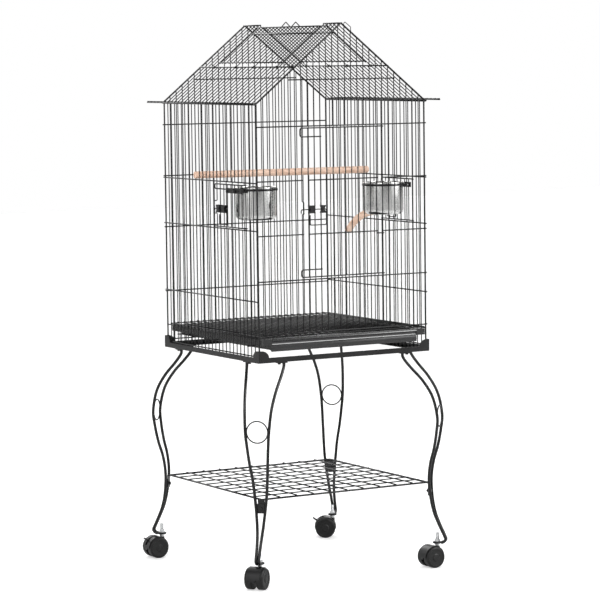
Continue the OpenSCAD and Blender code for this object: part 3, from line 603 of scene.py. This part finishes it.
def roof_flap(side, flip, loop_y):
    shape = Shape(flip @ LEFT_SLOPE)
    rod_y = side_y(PAST_FLAP) - 5.7
    inner_y = (side_y(15) + side_y(16)) / 2
    loop_d = 1.7
    for i in range(FLAP_BARS[0], FLAP_BARS[1] + 1):
        shape.rod((FLAP_LOW - TIP, side_y(i), 0), (FLAP_TOP + TIP, side_y(i), 0), BAR)
    for s in (-1, 1):
        shape.rod((FLAP_LOW - 1.5, s * rod_y, 0), (FLAP_TOP + TIP, s * rod_y, 0), RING)
    for v in (FLAP_LOW, FLAP_RAIL, FLAP_TOP):
        shape.rod((v, -rod_y - 1.5, WELD), (v, rod_y + 1.5, WELD), RING)
    grip = ROOF_RING / 2 + ROLL_PLAY + loop_d / 2
    for y in (-rod_y, -inner_y, inner_y, rod_y):
        curl(shape, (MID_V, y, WELD), (1, 0, 0), (0, 0, 1), (0, 2.1, 0), grip, loop_d, 1.05, -0.1)
        shape.rod((MID_V + grip, y, WELD), (FLAP_LOW + 0.5, y, WELD), 1.9)
    shape.place = flip
    base = LEFT_SLOPE @ Vector((FLAP_TOP, 0, WELD))
    peak = (base.x, loop_y, base.z + 11.5)
    legs = [(base.x, loop_y + s * 21, base.z - 0.3) for s in (-1, 1)]
    shape.wire([legs[0], peak, legs[1]], BAR, 3)
    piece(side + "_roof_flap_wires", shape, side + "_roof_flap", "wire_black", [side + "_roof_flap"])


# ---------- doors ----------


def door_edge(shape, z, back_z, x0, x1, back_x):
    """Straight across the bars, then a U-bend past the keeper bar and a short return."""
    y = -DOOR_OUT - WELD
    shape.wire([(x1, y, z), (x0 + 1.4, y, z), (x0 + 1.4, y, back_z), (back_x, y, back_z)], RING, 5)


def hinge_roll(shape, x, z):
    """The end of a cross wire rolled around an upright bar."""
    roll_d, rise = 2.6, 1.2
    radius = BAR / 2 + ROLL_PLAY + roll_d / 2
    curl(shape, (x, 0, z), (0, -1, 0), (1, 0, 0), (0, 0, rise), radius, roll_d, 0.98)


def main_door():
    shape = Shape(shifted(0, -HALF_D))
    y, hinge_x = -DOOR_OUT - WELD, front_x(MAIN_HINGE)
    for i in range(MAIN_BARS[0], MAIN_BARS[1] + 1):
        shape.rod((front_x(i), -DOOR_OUT, DOOR_LOW - TIP), (front_x(i), -DOOR_OUT, DOOR_HIGH + TIP), BAR)
    past = front_x(MAIN_KEEPER) - KEEPER_REACH
    door_edge(shape, DOOR_HIGH, DOOR_HIGH - 20, past, hinge_x - HINGE_GAP, front_x(10) + 1)
    door_edge(shape, DOOR_LOW, DOOR_LOW + 17, past, hinge_x - HINGE_GAP, front_x(10) + 1)
    for z in FRONT_RINGS[1:]:
        shape.rod((front_x(MAIN_BARS[0]) - 1, y, z), (front_x(MAIN_BARS[1]) + 1, y, z), RING)
    middle = FRONT_RINGS[1] - 5
    shape.rod((front_x(MAIN_BARS[1]) - 1, y, middle), (hinge_x - HINGE_GAP, y, middle), RING)
    for z in (DOOR_LOW, middle, DOOR_HIGH):
        hinge_roll(shape, hinge_x, z)
    piece("main_door_wires", shape, "main_door", "wire_black", ["main_door"])


def feeder_door(side, flip):
    shape = Shape(flip @ left_wall(FEEDER_KEEPER))
    low, high = FEEDER_LOW + 4.2, FEEDER_HIGH - 6.4
    hinge_x = (FEEDER_KEEPER - FEEDER_HINGE) * SIDE_PITCH
    for i in range(1, FEEDER_KEEPER - FEEDER_BARS[0] + 1):
        shape.rod((i * SIDE_PITCH, -DOOR_OUT, low - TIP), (i * SIDE_PITCH, -DOOR_OUT, high + TIP), BAR)
    door_edge(shape, high, high - 11, -KEEPER_REACH, hinge_x - HINGE_GAP, 3 * SIDE_PITCH + 1)
    shape.rod((-KEEPER_REACH, -DOOR_OUT - WELD, low), (hinge_x - HINGE_GAP, -DOOR_OUT - WELD, low), RING)
    for z in (low, high):
        hinge_roll(shape, hinge_x, z)
    body = side + "_feeder_door"
    piece(body + "_wires", shape, body, "wire_black", [body])


ROD_OUT = -4.3
LATCH_D = 2.6
HOOK_X, PULL_START_X = -5.2, 18.5
PULL_Z = LATCH_Z - 36
MAIN_PULL, FEEDER_PULL = 61.5, 56
MAIN_CLIPS = ((14.9, 32), (46.5, 59.5))
FEEDER_CLIPS = ((5.5, 24), (30, 49))


def latch(name, place, pull_x):
    shape = Shape(place)
    corners = [
        (HOOK_X, LATCH_Z - 9), (HOOK_X, LATCH_Z), (pull_x, LATCH_Z),
        (pull_x, PULL_Z), (PULL_START_X, PULL_Z), (PULL_START_X, LATCH_Z - 13),
    ]
    shape.wire([(x, ROD_OUT, z) for x, z in corners], LATCH_D, 3.6, 14)
    piece(name + "_wire", shape, name, "wire_black", [name])


CLIP_WAIST, CLIP_HALF_H = 3, 9
CLIP_FRONT, CLIP_BACK = -7.6, 0.9


def bow_outline(half, waist, height, steps=12):
    """The outline of a clip that is narrow in the middle, as (x, z) points around its centre."""
    right = []
    for k in range(steps + 1):
        z = -height + 2 * height * k / steps
        right.append((half - waist * (1 - (z / height) ** 2) ** 2, z))
    return right + [(-x, z) for x, z in reversed(right)]


def guides(name, body, place, clips):
    """Two clips, each holding the latch wire against the bars of its door."""
    shape = Shape(place)
    for x0, x1 in clips:
        centre = (x0 + x1) / 2
        bow = bow_outline((x1 - x0) / 2, CLIP_WAIST, CLIP_HALF_H)
        outline = [(centre + x, 0, LATCH_Z + z) for x, z in bow]
        shape.prism(outline, (0, CLIP_FRONT, 0), (0, CLIP_BACK, 0))
    piece(name + "_clips", shape, body, "clip_black", [name], 0.8, 3)


# ---------- cups ----------

CUP_LOW, CUP_HIGH = node_box("left_cup")
CUP_X = (CUP_LOW.x + CUP_HIGH.x) / 2
CUP_R = 47
HOLDER_TOP = node_box("left_cup_holder")[1].z
HOLDER_FRONT, HOLDER_BACK = side_y(4) + 3, side_y(8) - 3


def cup_y(side):
    low, high = node_box(side + "_cup")
    return (low.y + high.y) / 2


def arc(cx, cy, r, start, stop, steps):
    return [
        (cx + r * math.cos(math.radians(start + (stop - start) * k / steps)),
         cy + r * math.sin(math.radians(start + (stop - start) * k / steps)))
        for k in range(steps + 1)
    ]


def cup(side, flip):
    """A deep-drawn cup: rounded bottom, straight wall and a rolled rim."""
    corner, wall = 11, 1.2
    low, high = CUP_LOW.z, CUP_HIGH.z
    outside = arc(CUP_R - corner, low + corner, corner, -90, 0, 10)
    rim = arc(CUP_R + 0.5, high - 1.6, 1.6, -100, 190, 14)
    inside = arc(CUP_R - corner, low + corner, corner - wall, 0, -90, 10)
    profile = [(0.4, low), (CUP_R - corner - 6, low), *outside, *rim, *inside, (0.4, low + wall)]
    shape = Shape(flip)
    shape.lathe(profile, (CUP_X, cup_y(side), 0), 128)
    piece(side + "_cup_bowl", shape, side + "_cup", "stainless", [side + "_cup"], smooth=40)


def cup_holder(side, flip):
    """A moulded ring on a plate, with two gussets between them."""
    shape = Shape(flip)
    top, bottom = HOLDER_TOP, HOLDER_TOP - 4.5
    inner, outer = CUP_R + 0.4, CUP_R + 4
    ring = [(inner, bottom), (outer, bottom), (outer, top), (inner, top)]
    shape.lathe(ring, (CUP_X, cup_y(side), 0), 96, True)
    low = node_box("left_cup_holder")[0]
    shape.block((low.x, HOLDER_FRONT, low.z), (low.x + 5.2, HOLDER_BACK, top))
    near, far = low.x + 4, low.x + 11
    for y in (side_y(4) + 8, side_y(8) - 14):
        edge = [(near, y, top - 0.6), (near, y, low.z + 0.8), (far, y, bottom - 0.2), (far, y, top - 0.6)]
        shape.prism(edge, (0, 0, 0), (0, 3, 0))
    body = side + "_feeder_door"
    piece(side + "_cup_holder_ring", shape, body, "clip_black", [side + "_cup_holder"], 0.5)


def cup_clamp(side, flip):
    """The outer plate, with a thick end, and its two cross-head screws."""
    x = -HALF_W - 5
    softened(side + "_cup_clamp", side + "_feeder_door", "clip_black", 0.7)
    thick = Shape(flip)
    thick.block((x - 2.2, side_y(6) - 4, HOLDER_TOP - 9.2), (x + 2, HOLDER_BACK - 0.3, HOLDER_TOP + 2.2))
    piece(side + "_cup_clamp_end", thick, side + "_feeder_door", "clip_black", bevel=0.8)
    screws = Shape(flip)
    for y in ((side_y(5) + side_y(6)) / 2, (side_y(7) + side_y(8)) / 2):
        screws.place = flip @ shifted(x - 2.4, y, HOLDER_TOP - 5) @ turned(-90, "Y")
        dome = [(2.0, -3), (3.7, -3), (3.7, 0.3), (3.1, 1.2), (2.2, 1.8), (1.0, 2.1), (0.2, 2.15)]
        screws.lathe(dome, (0, 0, 0), 32)
    piece(side + "_cup_clamp_screws", screws, side + "_feeder_door", "frame_black", smooth=30)


# ---------- perches ----------

PERCH_D = 17
# The slots of the long perch hold these side bars, left and right, so it lies slightly askew
PERCH_BARS = (17, 15)


def long_perch():
    """A turned dowel with rounded ends and a sawn slot in each."""
    low, high = node_box("long_perch")
    z = (low.z + high.z) / 2
    ends = [Vector((s * HALF_W, side_y(i), z)) for s, i in zip((-1, 1), PERCH_BARS)]
    along = (ends[1] - ends[0]).normalized()
    reach = (ends[1] - ends[0]).length / 2 + 4
    middle = (ends[0] + ends[1]) / 2
    place = Matrix.Translation(middle) @ along.to_track_quat("X", "Z").to_matrix().to_4x4()
    sides, slot, depth = 48, 1.7, 6
    stations = [(-reach, 0.7), (-reach + 0.6, 0.84), (-reach + 1.6, 0.93), (-reach + 3.2, 0.98)]
    stations += [(-reach + depth - 0.01, 1.0), (-reach + depth + 0.01, 1.0)]
    stations += [(-reach + depth + (reach - depth) * 2 * k / 30, 1.0) for k in range(1, 30)]
    stations += [(-x, s) for x, s in reversed(stations[:6])]
    shape = Shape(place)
    halves = []
    for x, s in stations:
        slotted = abs(x) > reach - depth
        r = PERCH_D / 2 * s * (1 + 0.006 * math.sin(x * 0.05) + 0.004 * math.sin(x * 0.13 + 1))
        ring = []
        for k in range(sides):
            t = 2 * math.pi * (k + 0.5) / sides
            y, h = r * math.cos(t), r * math.sin(t)
            ring.append((x, y, h, slotted))
        halves.append(ring)
    # the slot splits each end into two half-round tongues
    points, faces = [], []

    def strip(rings, closed):
        start = len(points)
        n = len(rings[0])
        for ring in rings:
            points.extend(ring)
        for i in range(len(rings) - 1):
            for k in range(n):
                q = (k + 1) % n
                here, there = start + i * n, start + (i + 1) * n
                faces.append([here + k, here + q, there + q, there + k])
        if closed:
            faces.append([start + k for k in range(n)])
            faces.append([start + (len(rings) - 1) * n + k for k in range(n)])

    core = [[p[:3] for p in ring] for ring in halves if not ring[0][3]]
    strip(core, True)
    for sign in (-1, 1):
        for wall in (-1, 1):
            rings = []
            for ring in halves:
                if ring[0][3] and ring[0][0] * sign > 0:
                    flat = [(x, max(y * wall, slot) * wall, h) for x, y, h, _ in ring]
                    rings.append(flat)
            if sign > 0:
                rings.insert(0, [(rings[0][0][0] - 0.3, y, h) for _, y, h in rings[0]])
            else:
                rings.append([(rings[-1][0][0] + 0.3, y, h) for _, y, h in rings[-1]])
            strip(rings, True)
    shape.add(points, faces)
    piece("long_perch_dowel", shape, "cage", "wood", ["long_perch"], smooth=40)


PERCH_BOLT_Y = (side_y(12) + side_y(13)) / 2
PERCH_BOLT_Z = 832
PERCH_FACE = HALF_W - BAR / 2 - 2.5


def curved_perch():
    """A bent stick that tapers slightly to a rounded tip."""
    bend_r, bend = 86.6, 62
    path = []
    steps = 40
    for k in range(steps + 1):
        t = math.radians(bend * k / steps)
        x = PERCH_FACE - bend_r * math.sin(t)
        path.append((x, PERCH_BOLT_Y, PERCH_BOLT_Z - bend_r + bend_r * math.cos(t)))
    shape = Shape()
    sides = 32
    points, faces = [], []
    for i, p in enumerate(path):
        t = math.radians(bend * i / steps)
        u, w = Vector((math.sin(t), 0, -math.cos(t))), Vector((0, 1, 0))
        left = (steps - i) * math.radians(bend / steps) * bend_r
        tip = min(1.0, 0.86 + 0.07 * left)
        r = PERCH_D / 2 * tip * (1 + 0.008 * math.sin(i * 0.9))
        for k in range(sides):
            a = 2 * math.pi * k / sides
            points.append(Vector(p) + r * (math.cos(a) * u + math.sin(a) * w))
    for i in range(steps):
        for k in range(sides):
            q = (k + 1) % sides
            faces.append([i * sides + k, i * sides + q, (i + 1) * sides + q, (i + 1) * sides + k])
    faces += [list(range(sides)), [steps * sides + k for k in range(sides)]]
    shape.add(points, faces)
    piece("curved_perch_stick", shape, "cage", "wood", ["curved_perch"], smooth=40)


def curved_perch_bolt():
    """Washers, the threaded end and a wing nut."""
    shape = Shape(shifted(PERCH_FACE, PERCH_BOLT_Y, PERCH_BOLT_Z) @ turned(90, "Y"))
    washer = 2.5
    outside = washer + BAR
    shape.lathe(thread_profile(2.5, -14, 14, 0.9), (0, 0, 0), 32)
    for z, thick in ((0, washer), (outside, 1.6)):
        top = z + thick
        disc = [(2.4, z), (9.7, z), (10, z + 0.3), (10, top - 0.3), (9.7, top), (2.4, top)]
        shape.lathe(disc, (0, 0, 0), 48)
    z = outside + 1.6
    shape.lathe([(2.4, z), (4.6, z), (4.4, z + 3.4), (3.6, z + 4.8), (2.4, z + 4.9)], (0, 0, 0), 32)
    for s in (-1, 1):
        wing = [(3.2, 0.6), (9.5, 1.9), (11, 4.6), (9.6, 6.4), (6.4, 5.2), (3.2, 4)]
        shape.prism([(0, s * y, z + up) for y, up in wing], (-1.1, 0, 0), (1.1, 0, 0))
    piece("curved_perch_bolt_parts", shape, "cage", "zinc", ["curved_perch_bolt"], 0.25)


def thread_profile(r, low, high, pitch):
    """A stack of shallow ridges that reads as a screw thread."""
    profile = [(r - 0.5, low)]
    z = low + 0.4
    while z < high - pitch:
        profile += [(r - 0.42, z), (r, z + pitch * 0.42), (r, z + pitch * 0.58)]
        z += pitch
    return profile + [(r - 0.42, z), (r - 0.6, high)]


# ---------- floor ----------


def floor_grille():
    shape = Shape()
    edge_x = node_box("floor_grille")[1].x - RING / 2 + 0.1
    front, back = -222.5, 214
    bars = 25
    for s in (-1, 1):
        shape.rod((s * edge_x, front - 1.4, GRILLE_Z), (s * edge_x, back + 1.4, GRILLE_Z), RING)
    for y in (front, -76, 70, back):
        shape.rod((-edge_x - 1.4, y, GRILLE_Z), (edge_x + 1.4, y, GRILLE_Z), RING)
    for i in range(1, bars):
        x = -edge_x + i * 2 * edge_x / bars
        shape.rod((x, front - 1, GRILLE_Z + WELD), (x, back + 1, GRILLE_Z + WELD), BAR)
    piece("floor_grille_wires", shape, "floor_grille", "wire_black", ["floor_grille"])


def tray():
    softened("tray", "tray", "tray_black", 1.0, "tray_shell")


# ---------- stand ----------

LEG_ANGLES = {"near": 225, "left": 135, "right": -45, "back": 45}
LEG_LINE = [
    (271, 44, 512.4), (272.5, 43.8, 500), (289, 41, 478), (317, 36, 446), (339, 31.5, 408),
    (349.5, 28, 360), (347, 25, 325), (340, 21.5, 285), (330, 17.5, 248), (325.5, 14.2, 209),
    (328, 10, 168), (335, 6.5, 131), (346, 4.4, 102), (358, 3.6, 76), (362, 3.6, 65),
    (357, 3.6, 58.5), (351, 3.6, 57),
]
LEG_ROD = 7
RING_AT, RING_R = (349, 359), 24.9
PLATE_X, PLATE_Z = 325, 180
STEM_X, FOOT_Z = 341.4, 57
FRAME_Z = 512.5


def leg(name):
    turn = turned(LEG_ANGLES[name])
    shape = Shape(turn)
    for s in (-1, 1):
        shape.tube(catmull([(r, s * t, z) for r, t, z in LEG_LINE], 7), LEG_ROD, 16)
    circle = []
    for k in range(48):
        t = 2 * math.pi * k / 48
        circle.append((RING_AT[0], RING_R * math.cos(t), RING_AT[1] + RING_R * math.sin(t)))
    shape.tube(circle, 3.2, 12, True)
    piece(name + "_leg_rods", shape, "cage", "frame_black", [name + "_leg"])
    plates = Shape(turn)
    plates.block((PLATE_X - 1.5, -12.5, PLATE_Z - 11), (PLATE_X + 1.5, 12.5, PLATE_Z + 11))
    foot = [(4.3, -2.5), *arc(8.5, 0, 2.5, -90, 90, 8), (4.3, 2.5)]
    plates.lathe(foot, (STEM_X, 0, FOOT_Z), 48, True)
    for s in (-1, 1):
        plates.place = turn @ shifted(LEG_LINE[0][0], s * LEG_LINE[0][1]) @ turned(-s * 45)
        plates.block((-7, -6.5, FRAME_Z - 2.6), (19, 6.5, FRAME_Z - 0.1))
    piece(name + "_leg_plates", plates, "cage", "frame_black", bevel=0.6)


def shelf():
    shape = Shape()
    half, border, wire_d, cells = 225, 4.5, 3, 10
    z = 199.7
    for s in (-1, 1):
        shape.rod((-half - 2, s * half, z), (half + 2, s * half, z), border)
        shape.rod((s * half, -half - 2, z), (s * half, half + 2, z), border)
    for i in range(1, cells):
        at = -half + i * 2 * half / cells
        shape.rod((at, -half - 5, z + 3.2), (at, half, z + 3.2), wire_d)
        shape.rod((-half, at, z + 0.7), (half + 5, at, z + 0.7), wire_d)
    piece("shelf_wires", shape, "cage", "frame_black", ["shelf"])
    lugs = Shape()
    for angle in LEG_ANGLES.values():
        lugs.place = turned(angle)
        x = PLATE_X - 4.1
        outer, foot = x + 2.5, PLATE_Z - 10
        outline = [(311, z - 1.5), (311, z + 1.2), (outer, z + 1.2), (outer, foot), (x, foot), (x, z - 1.5)]
        lugs.prism([(px, 0, pz) for px, pz in outline], (0, -8, 0), (0, 8, 0))
    piece("shelf_lugs", lugs, "cage", "frame_black", bevel=0.6)


# ---------- casters ----------

TRAIL, WHEEL_R = 18, 25


def caster_place(name):
    """The caster's frame: stem on Z, wheels behind on +X. Its turn comes from its spin joint."""
    joints = {j["name"]: j for j in frame["joints"]}
    stem = Vector(joints[name + "_swivel"]["pos_m"]) / MM
    hub = Vector(joints[name + "_spin"]["pos_m"]) / MM
    turn = math.atan2(hub.y - stem.y, hub.x - stem.x)
    return shifted(stem.x, stem.y) @ Matrix.Rotation(turn, 4, "Z")


def caster_wheels(name):
    """Two discs with a rounded tread, a dished face and a raised hub."""
    place = caster_place(name)
    shape = Shape()
    tread = [(3.1, 5.8), (23.6, 5.8)] + arc(23.4, 7.4, 1.6, -90, 0, 5)
    tread += arc(21.2, 19.2, 3.8, 0, 80, 6)
    tread += [(19.8, 23.1), (19.2, 22.2), (17.6, 21.9), (9.4, 21.9), (8.6, 22.6)]
    tread += arc(6.6, 21.8, 1.6, 60, 90, 3) + [(0.3, 23.6)]
    for s in (-1, 1):
        shape.place = place @ shifted(TRAIL, 0, WHEEL_R) @ turned(90 * s, "X")
        shape.lathe(tread, (0, 0, 0), 96)
    nodes = [name + "_caster_wheels", name + "_caster_axle"]
    piece(name + "_caster_discs", shape, name + "_wheels", "wheel_black", nodes, smooth=35)


def caster_hood(name):
    softened(name + "_caster_hood", name + "_caster", "caster_black", 1.2, name + "_caster_hood_shell")


def caster_stem(name):
    """A threaded stem, a plain collar under the foot plate, and a nut above it."""
    place = caster_place(name)
    shape = Shape(place)
    shape.lathe([(3.6, 36.6), (4, 37), (4, 56), (3.9, 60)], (0, 0, 0), 32)
    shape.lathe(thread_profile(4, 59, 81, 1.25), (0, 0, 0), 32)
    shape.lathe([(3.9, 50), (5.3, 50), (5.6, 50.3), (5.6, 54.2), (5.3, 54.5), (3.9, 54.5)], (0, 0, 0), 48)
    nut = [(x, y, 59.5) for x, y in arc(0, 0, 6.9, 0, 300, 5)]
    shape.prism(nut, (0, 0, 0), (0, 0, 5.5))
    piece(name + "_caster_stem_parts", shape, "cage", "zinc", [name + "_caster_stem"], 0.3)


def brake_lever(name):
    softened(name + "_brake_lever", name + "_brake", "caster_black", 0.8, name + "_brake_lever_shell")


# ---------- stage ----------

PALE = (0.93, 0.93, 0.93)
FLOOR_HALF, FLOOR_GLOW = 14, 0.4
# How bright the camera sees the surroundings, and the light that their bands give
BACKDROP = 1.0
ROOM_DARK, ROOM_LIGHT = 0.02, 1.6
ROOM_BANDS, ROOM_PHASE, ROOM_TURN = 3.5, -2.4, 2.098


def stage():
    look = Look("pale_floor")
    cloud = look.noise(0.6, 2)
    look.feed("Base Color", look.ramp(cloud, [(0.3, (0.9, 0.9, 0.9)), (0.7, PALE)]))
    look.feed("Roughness", look.spread(cloud, 0.6, 0.7))
    # the floor glows a little for the camera only, so that it is as white as the backdrop
    look.shader.inputs["Emission Color"].default_value = (1, 1, 1, 1)
    seen = look.node("LightPath").outputs["Is Camera Ray"]
    glow = look.node("Math", {0: seen, 1: FLOOR_GLOW}, operation="MULTIPLY")
    look.feed("Emission Strength", glow.outputs[0])
    mesh = bpy.data.meshes.new("floor")
    corners = [(x * FLOOR_HALF, y * FLOOR_HALF, 0) for x, y in ((-1, -1), (1, -1), (1, 1), (-1, 1))]
    mesh.from_pydata(corners, [], [(0, 1, 2, 3)])
    floor = bpy.data.objects.new("floor", mesh)
    floor.data.materials.append(look.material)
    bpy.context.scene.collection.objects.link(floor)
    world = bpy.data.worlds.new("studio")
    world.use_nodes = True
    tree = world.node_tree
    background = tree.nodes["Background"]
    background.inputs["Color"].default_value = (1, 1, 1, 1)

    def node(kind, inputs, **settings):
        n = tree.nodes.new("ShaderNode" + kind)
        for key, value in settings.items():
            setattr(n, key, value)
        for key, value in inputs.items():
            if isinstance(value, bpy.types.NodeSocket):
                tree.links.new(value, n.inputs[key])
            else:
                n.inputs[key].default_value = value
        return n.outputs

    # the room has bright and dark upright bands, as between the panels of a light tent
    around = node("TexCoord", {})["Generated"]
    turn = node("Mapping", {"Vector": around, "Rotation": (0, 0, ROOM_TURN)})["Vector"]
    flat = node("SeparateXYZ", {"Vector": turn})
    angle = node("Math", {0: flat["Y"], 1: flat["X"]}, operation="ARCTAN2")[0]
    wave = node("Math", {0: angle, 1: ROOM_BANDS, 2: ROOM_PHASE}, operation="MULTIPLY_ADD")[0]
    band = node("Math", {0: wave}, operation="SINE")[0]
    ends = {"From Min": -0.1, "From Max": 0.75, "To Min": ROOM_DARK, "To Max": ROOM_LIGHT}
    room = node("MapRange", {"Value": band, **ends})
    seen = node("LightPath", {})["Is Camera Ray"]
    strength = node("MapRange", {"Value": seen, "To Min": room["Result"], "To Max": BACKDROP})
    tree.links.new(strength["Result"], background.inputs["Strength"])
    bpy.context.scene.world = world
    bpy.context.scene.view_settings.view_transform = "Standard"


def soft_light(name, at, towards, size, power, gloss_only=False):
    data = bpy.data.lights.new(name, "AREA")
    data.shape = "SQUARE"
    data.size = size
    data.energy = power
    light = bpy.data.objects.new(name, data)
    light.location = at
    light.visible_diffuse = not gloss_only
    light.rotation_mode = "QUATERNION"
    light.rotation_quaternion = (Vector(towards) - Vector(at)).to_track_quat("-Z", "Y")
    bpy.context.scene.collection.objects.link(light)


def lights():
    middle = (0, 0, 0.75)
    soft_light("key", (-2.6, -2.4, 2.9), middle, 1.6, 75)
    soft_light("fill", (2.8, -2.2, 1.6), middle, 1.8, 40)
    soft_light("sheen", (1.9, -2.1, 3.0), (0, -0.23, 0.56), 1.8, 130, True)
    soft_light("rim", (0.6, 3.0, 2.4), middle, 1.6, 30)


# Camera: seen from the front left, a little above the middle, through a long lens
CAMERA_AT = (-3.289, -5.6662, 1.2155)
CAMERA_AZIMUTH, CAMERA_PITCH, CAMERA_ROLL = 30.24, 5.117, 0.72
CAMERA_LENS = 165.8


def camera():
    a, e = math.radians(CAMERA_AZIMUTH), math.radians(CAMERA_PITCH)
    forward = Vector((math.sin(a) * math.cos(e), math.cos(a) * math.cos(e), -math.sin(e)))
    data = bpy.data.cameras.new("camera")
    data.lens = CAMERA_LENS
    data.sensor_width = 36
    data.clip_start, data.clip_end = 0.1, 60
    cam = bpy.data.objects.new("camera", data)
    cam.location = CAMERA_AT
    cam.rotation_mode = "QUATERNION"
    level = forward.to_track_quat("-Z", "Y")
    cam.rotation_quaternion = level @ Quaternion((0, 0, 1), math.radians(-CAMERA_ROLL))
    bpy.context.scene.collection.objects.link(cam)
    bpy.context.scene.camera = cam


# ---------- everything ----------


def build():
    dress_cad_nodes()
    front_panel()
    back_panel()
    main_door()
    main_latch_at = shifted(front_x(MAIN_KEEPER), -HALF_D)
    latch("main_door_latch", main_latch_at, MAIN_PULL)
    guides("main_door_guides", "main_door", main_latch_at, MAIN_CLIPS)
    for side, flip, loop_y in (("left", Matrix.Identity(4), 7.5), ("right", MIRROR, -1.5)):
        side_panel(side, flip)
        roof(side, flip)
        roof_flap(side, flip, loop_y)
        feeder_door(side, flip)
        wall = flip @ left_wall(FEEDER_KEEPER)
        latch(side + "_feeder_latch", wall, FEEDER_PULL)
        guides(side + "_feeder_guides", side + "_feeder_door", wall, FEEDER_CLIPS)
        cup(side, flip)
        cup_holder(side, flip)
        cup_clamp(side, flip)
    long_perch()
    curved_perch()
    curved_perch_bolt()
    floor_grille()
    tray()
    softened("stand_top_frame", "cage", "frame_black", 0.5, "stand_frame_angles", 2)
    for name in LEG_ANGLES:
        leg(name)
        caster_stem(name)
        caster_hood(name)
        caster_wheels(name)
    for name in ("left", "back"):
        brake_lever(name)
    shelf()
    stage()
    lights()
    camera()


build()
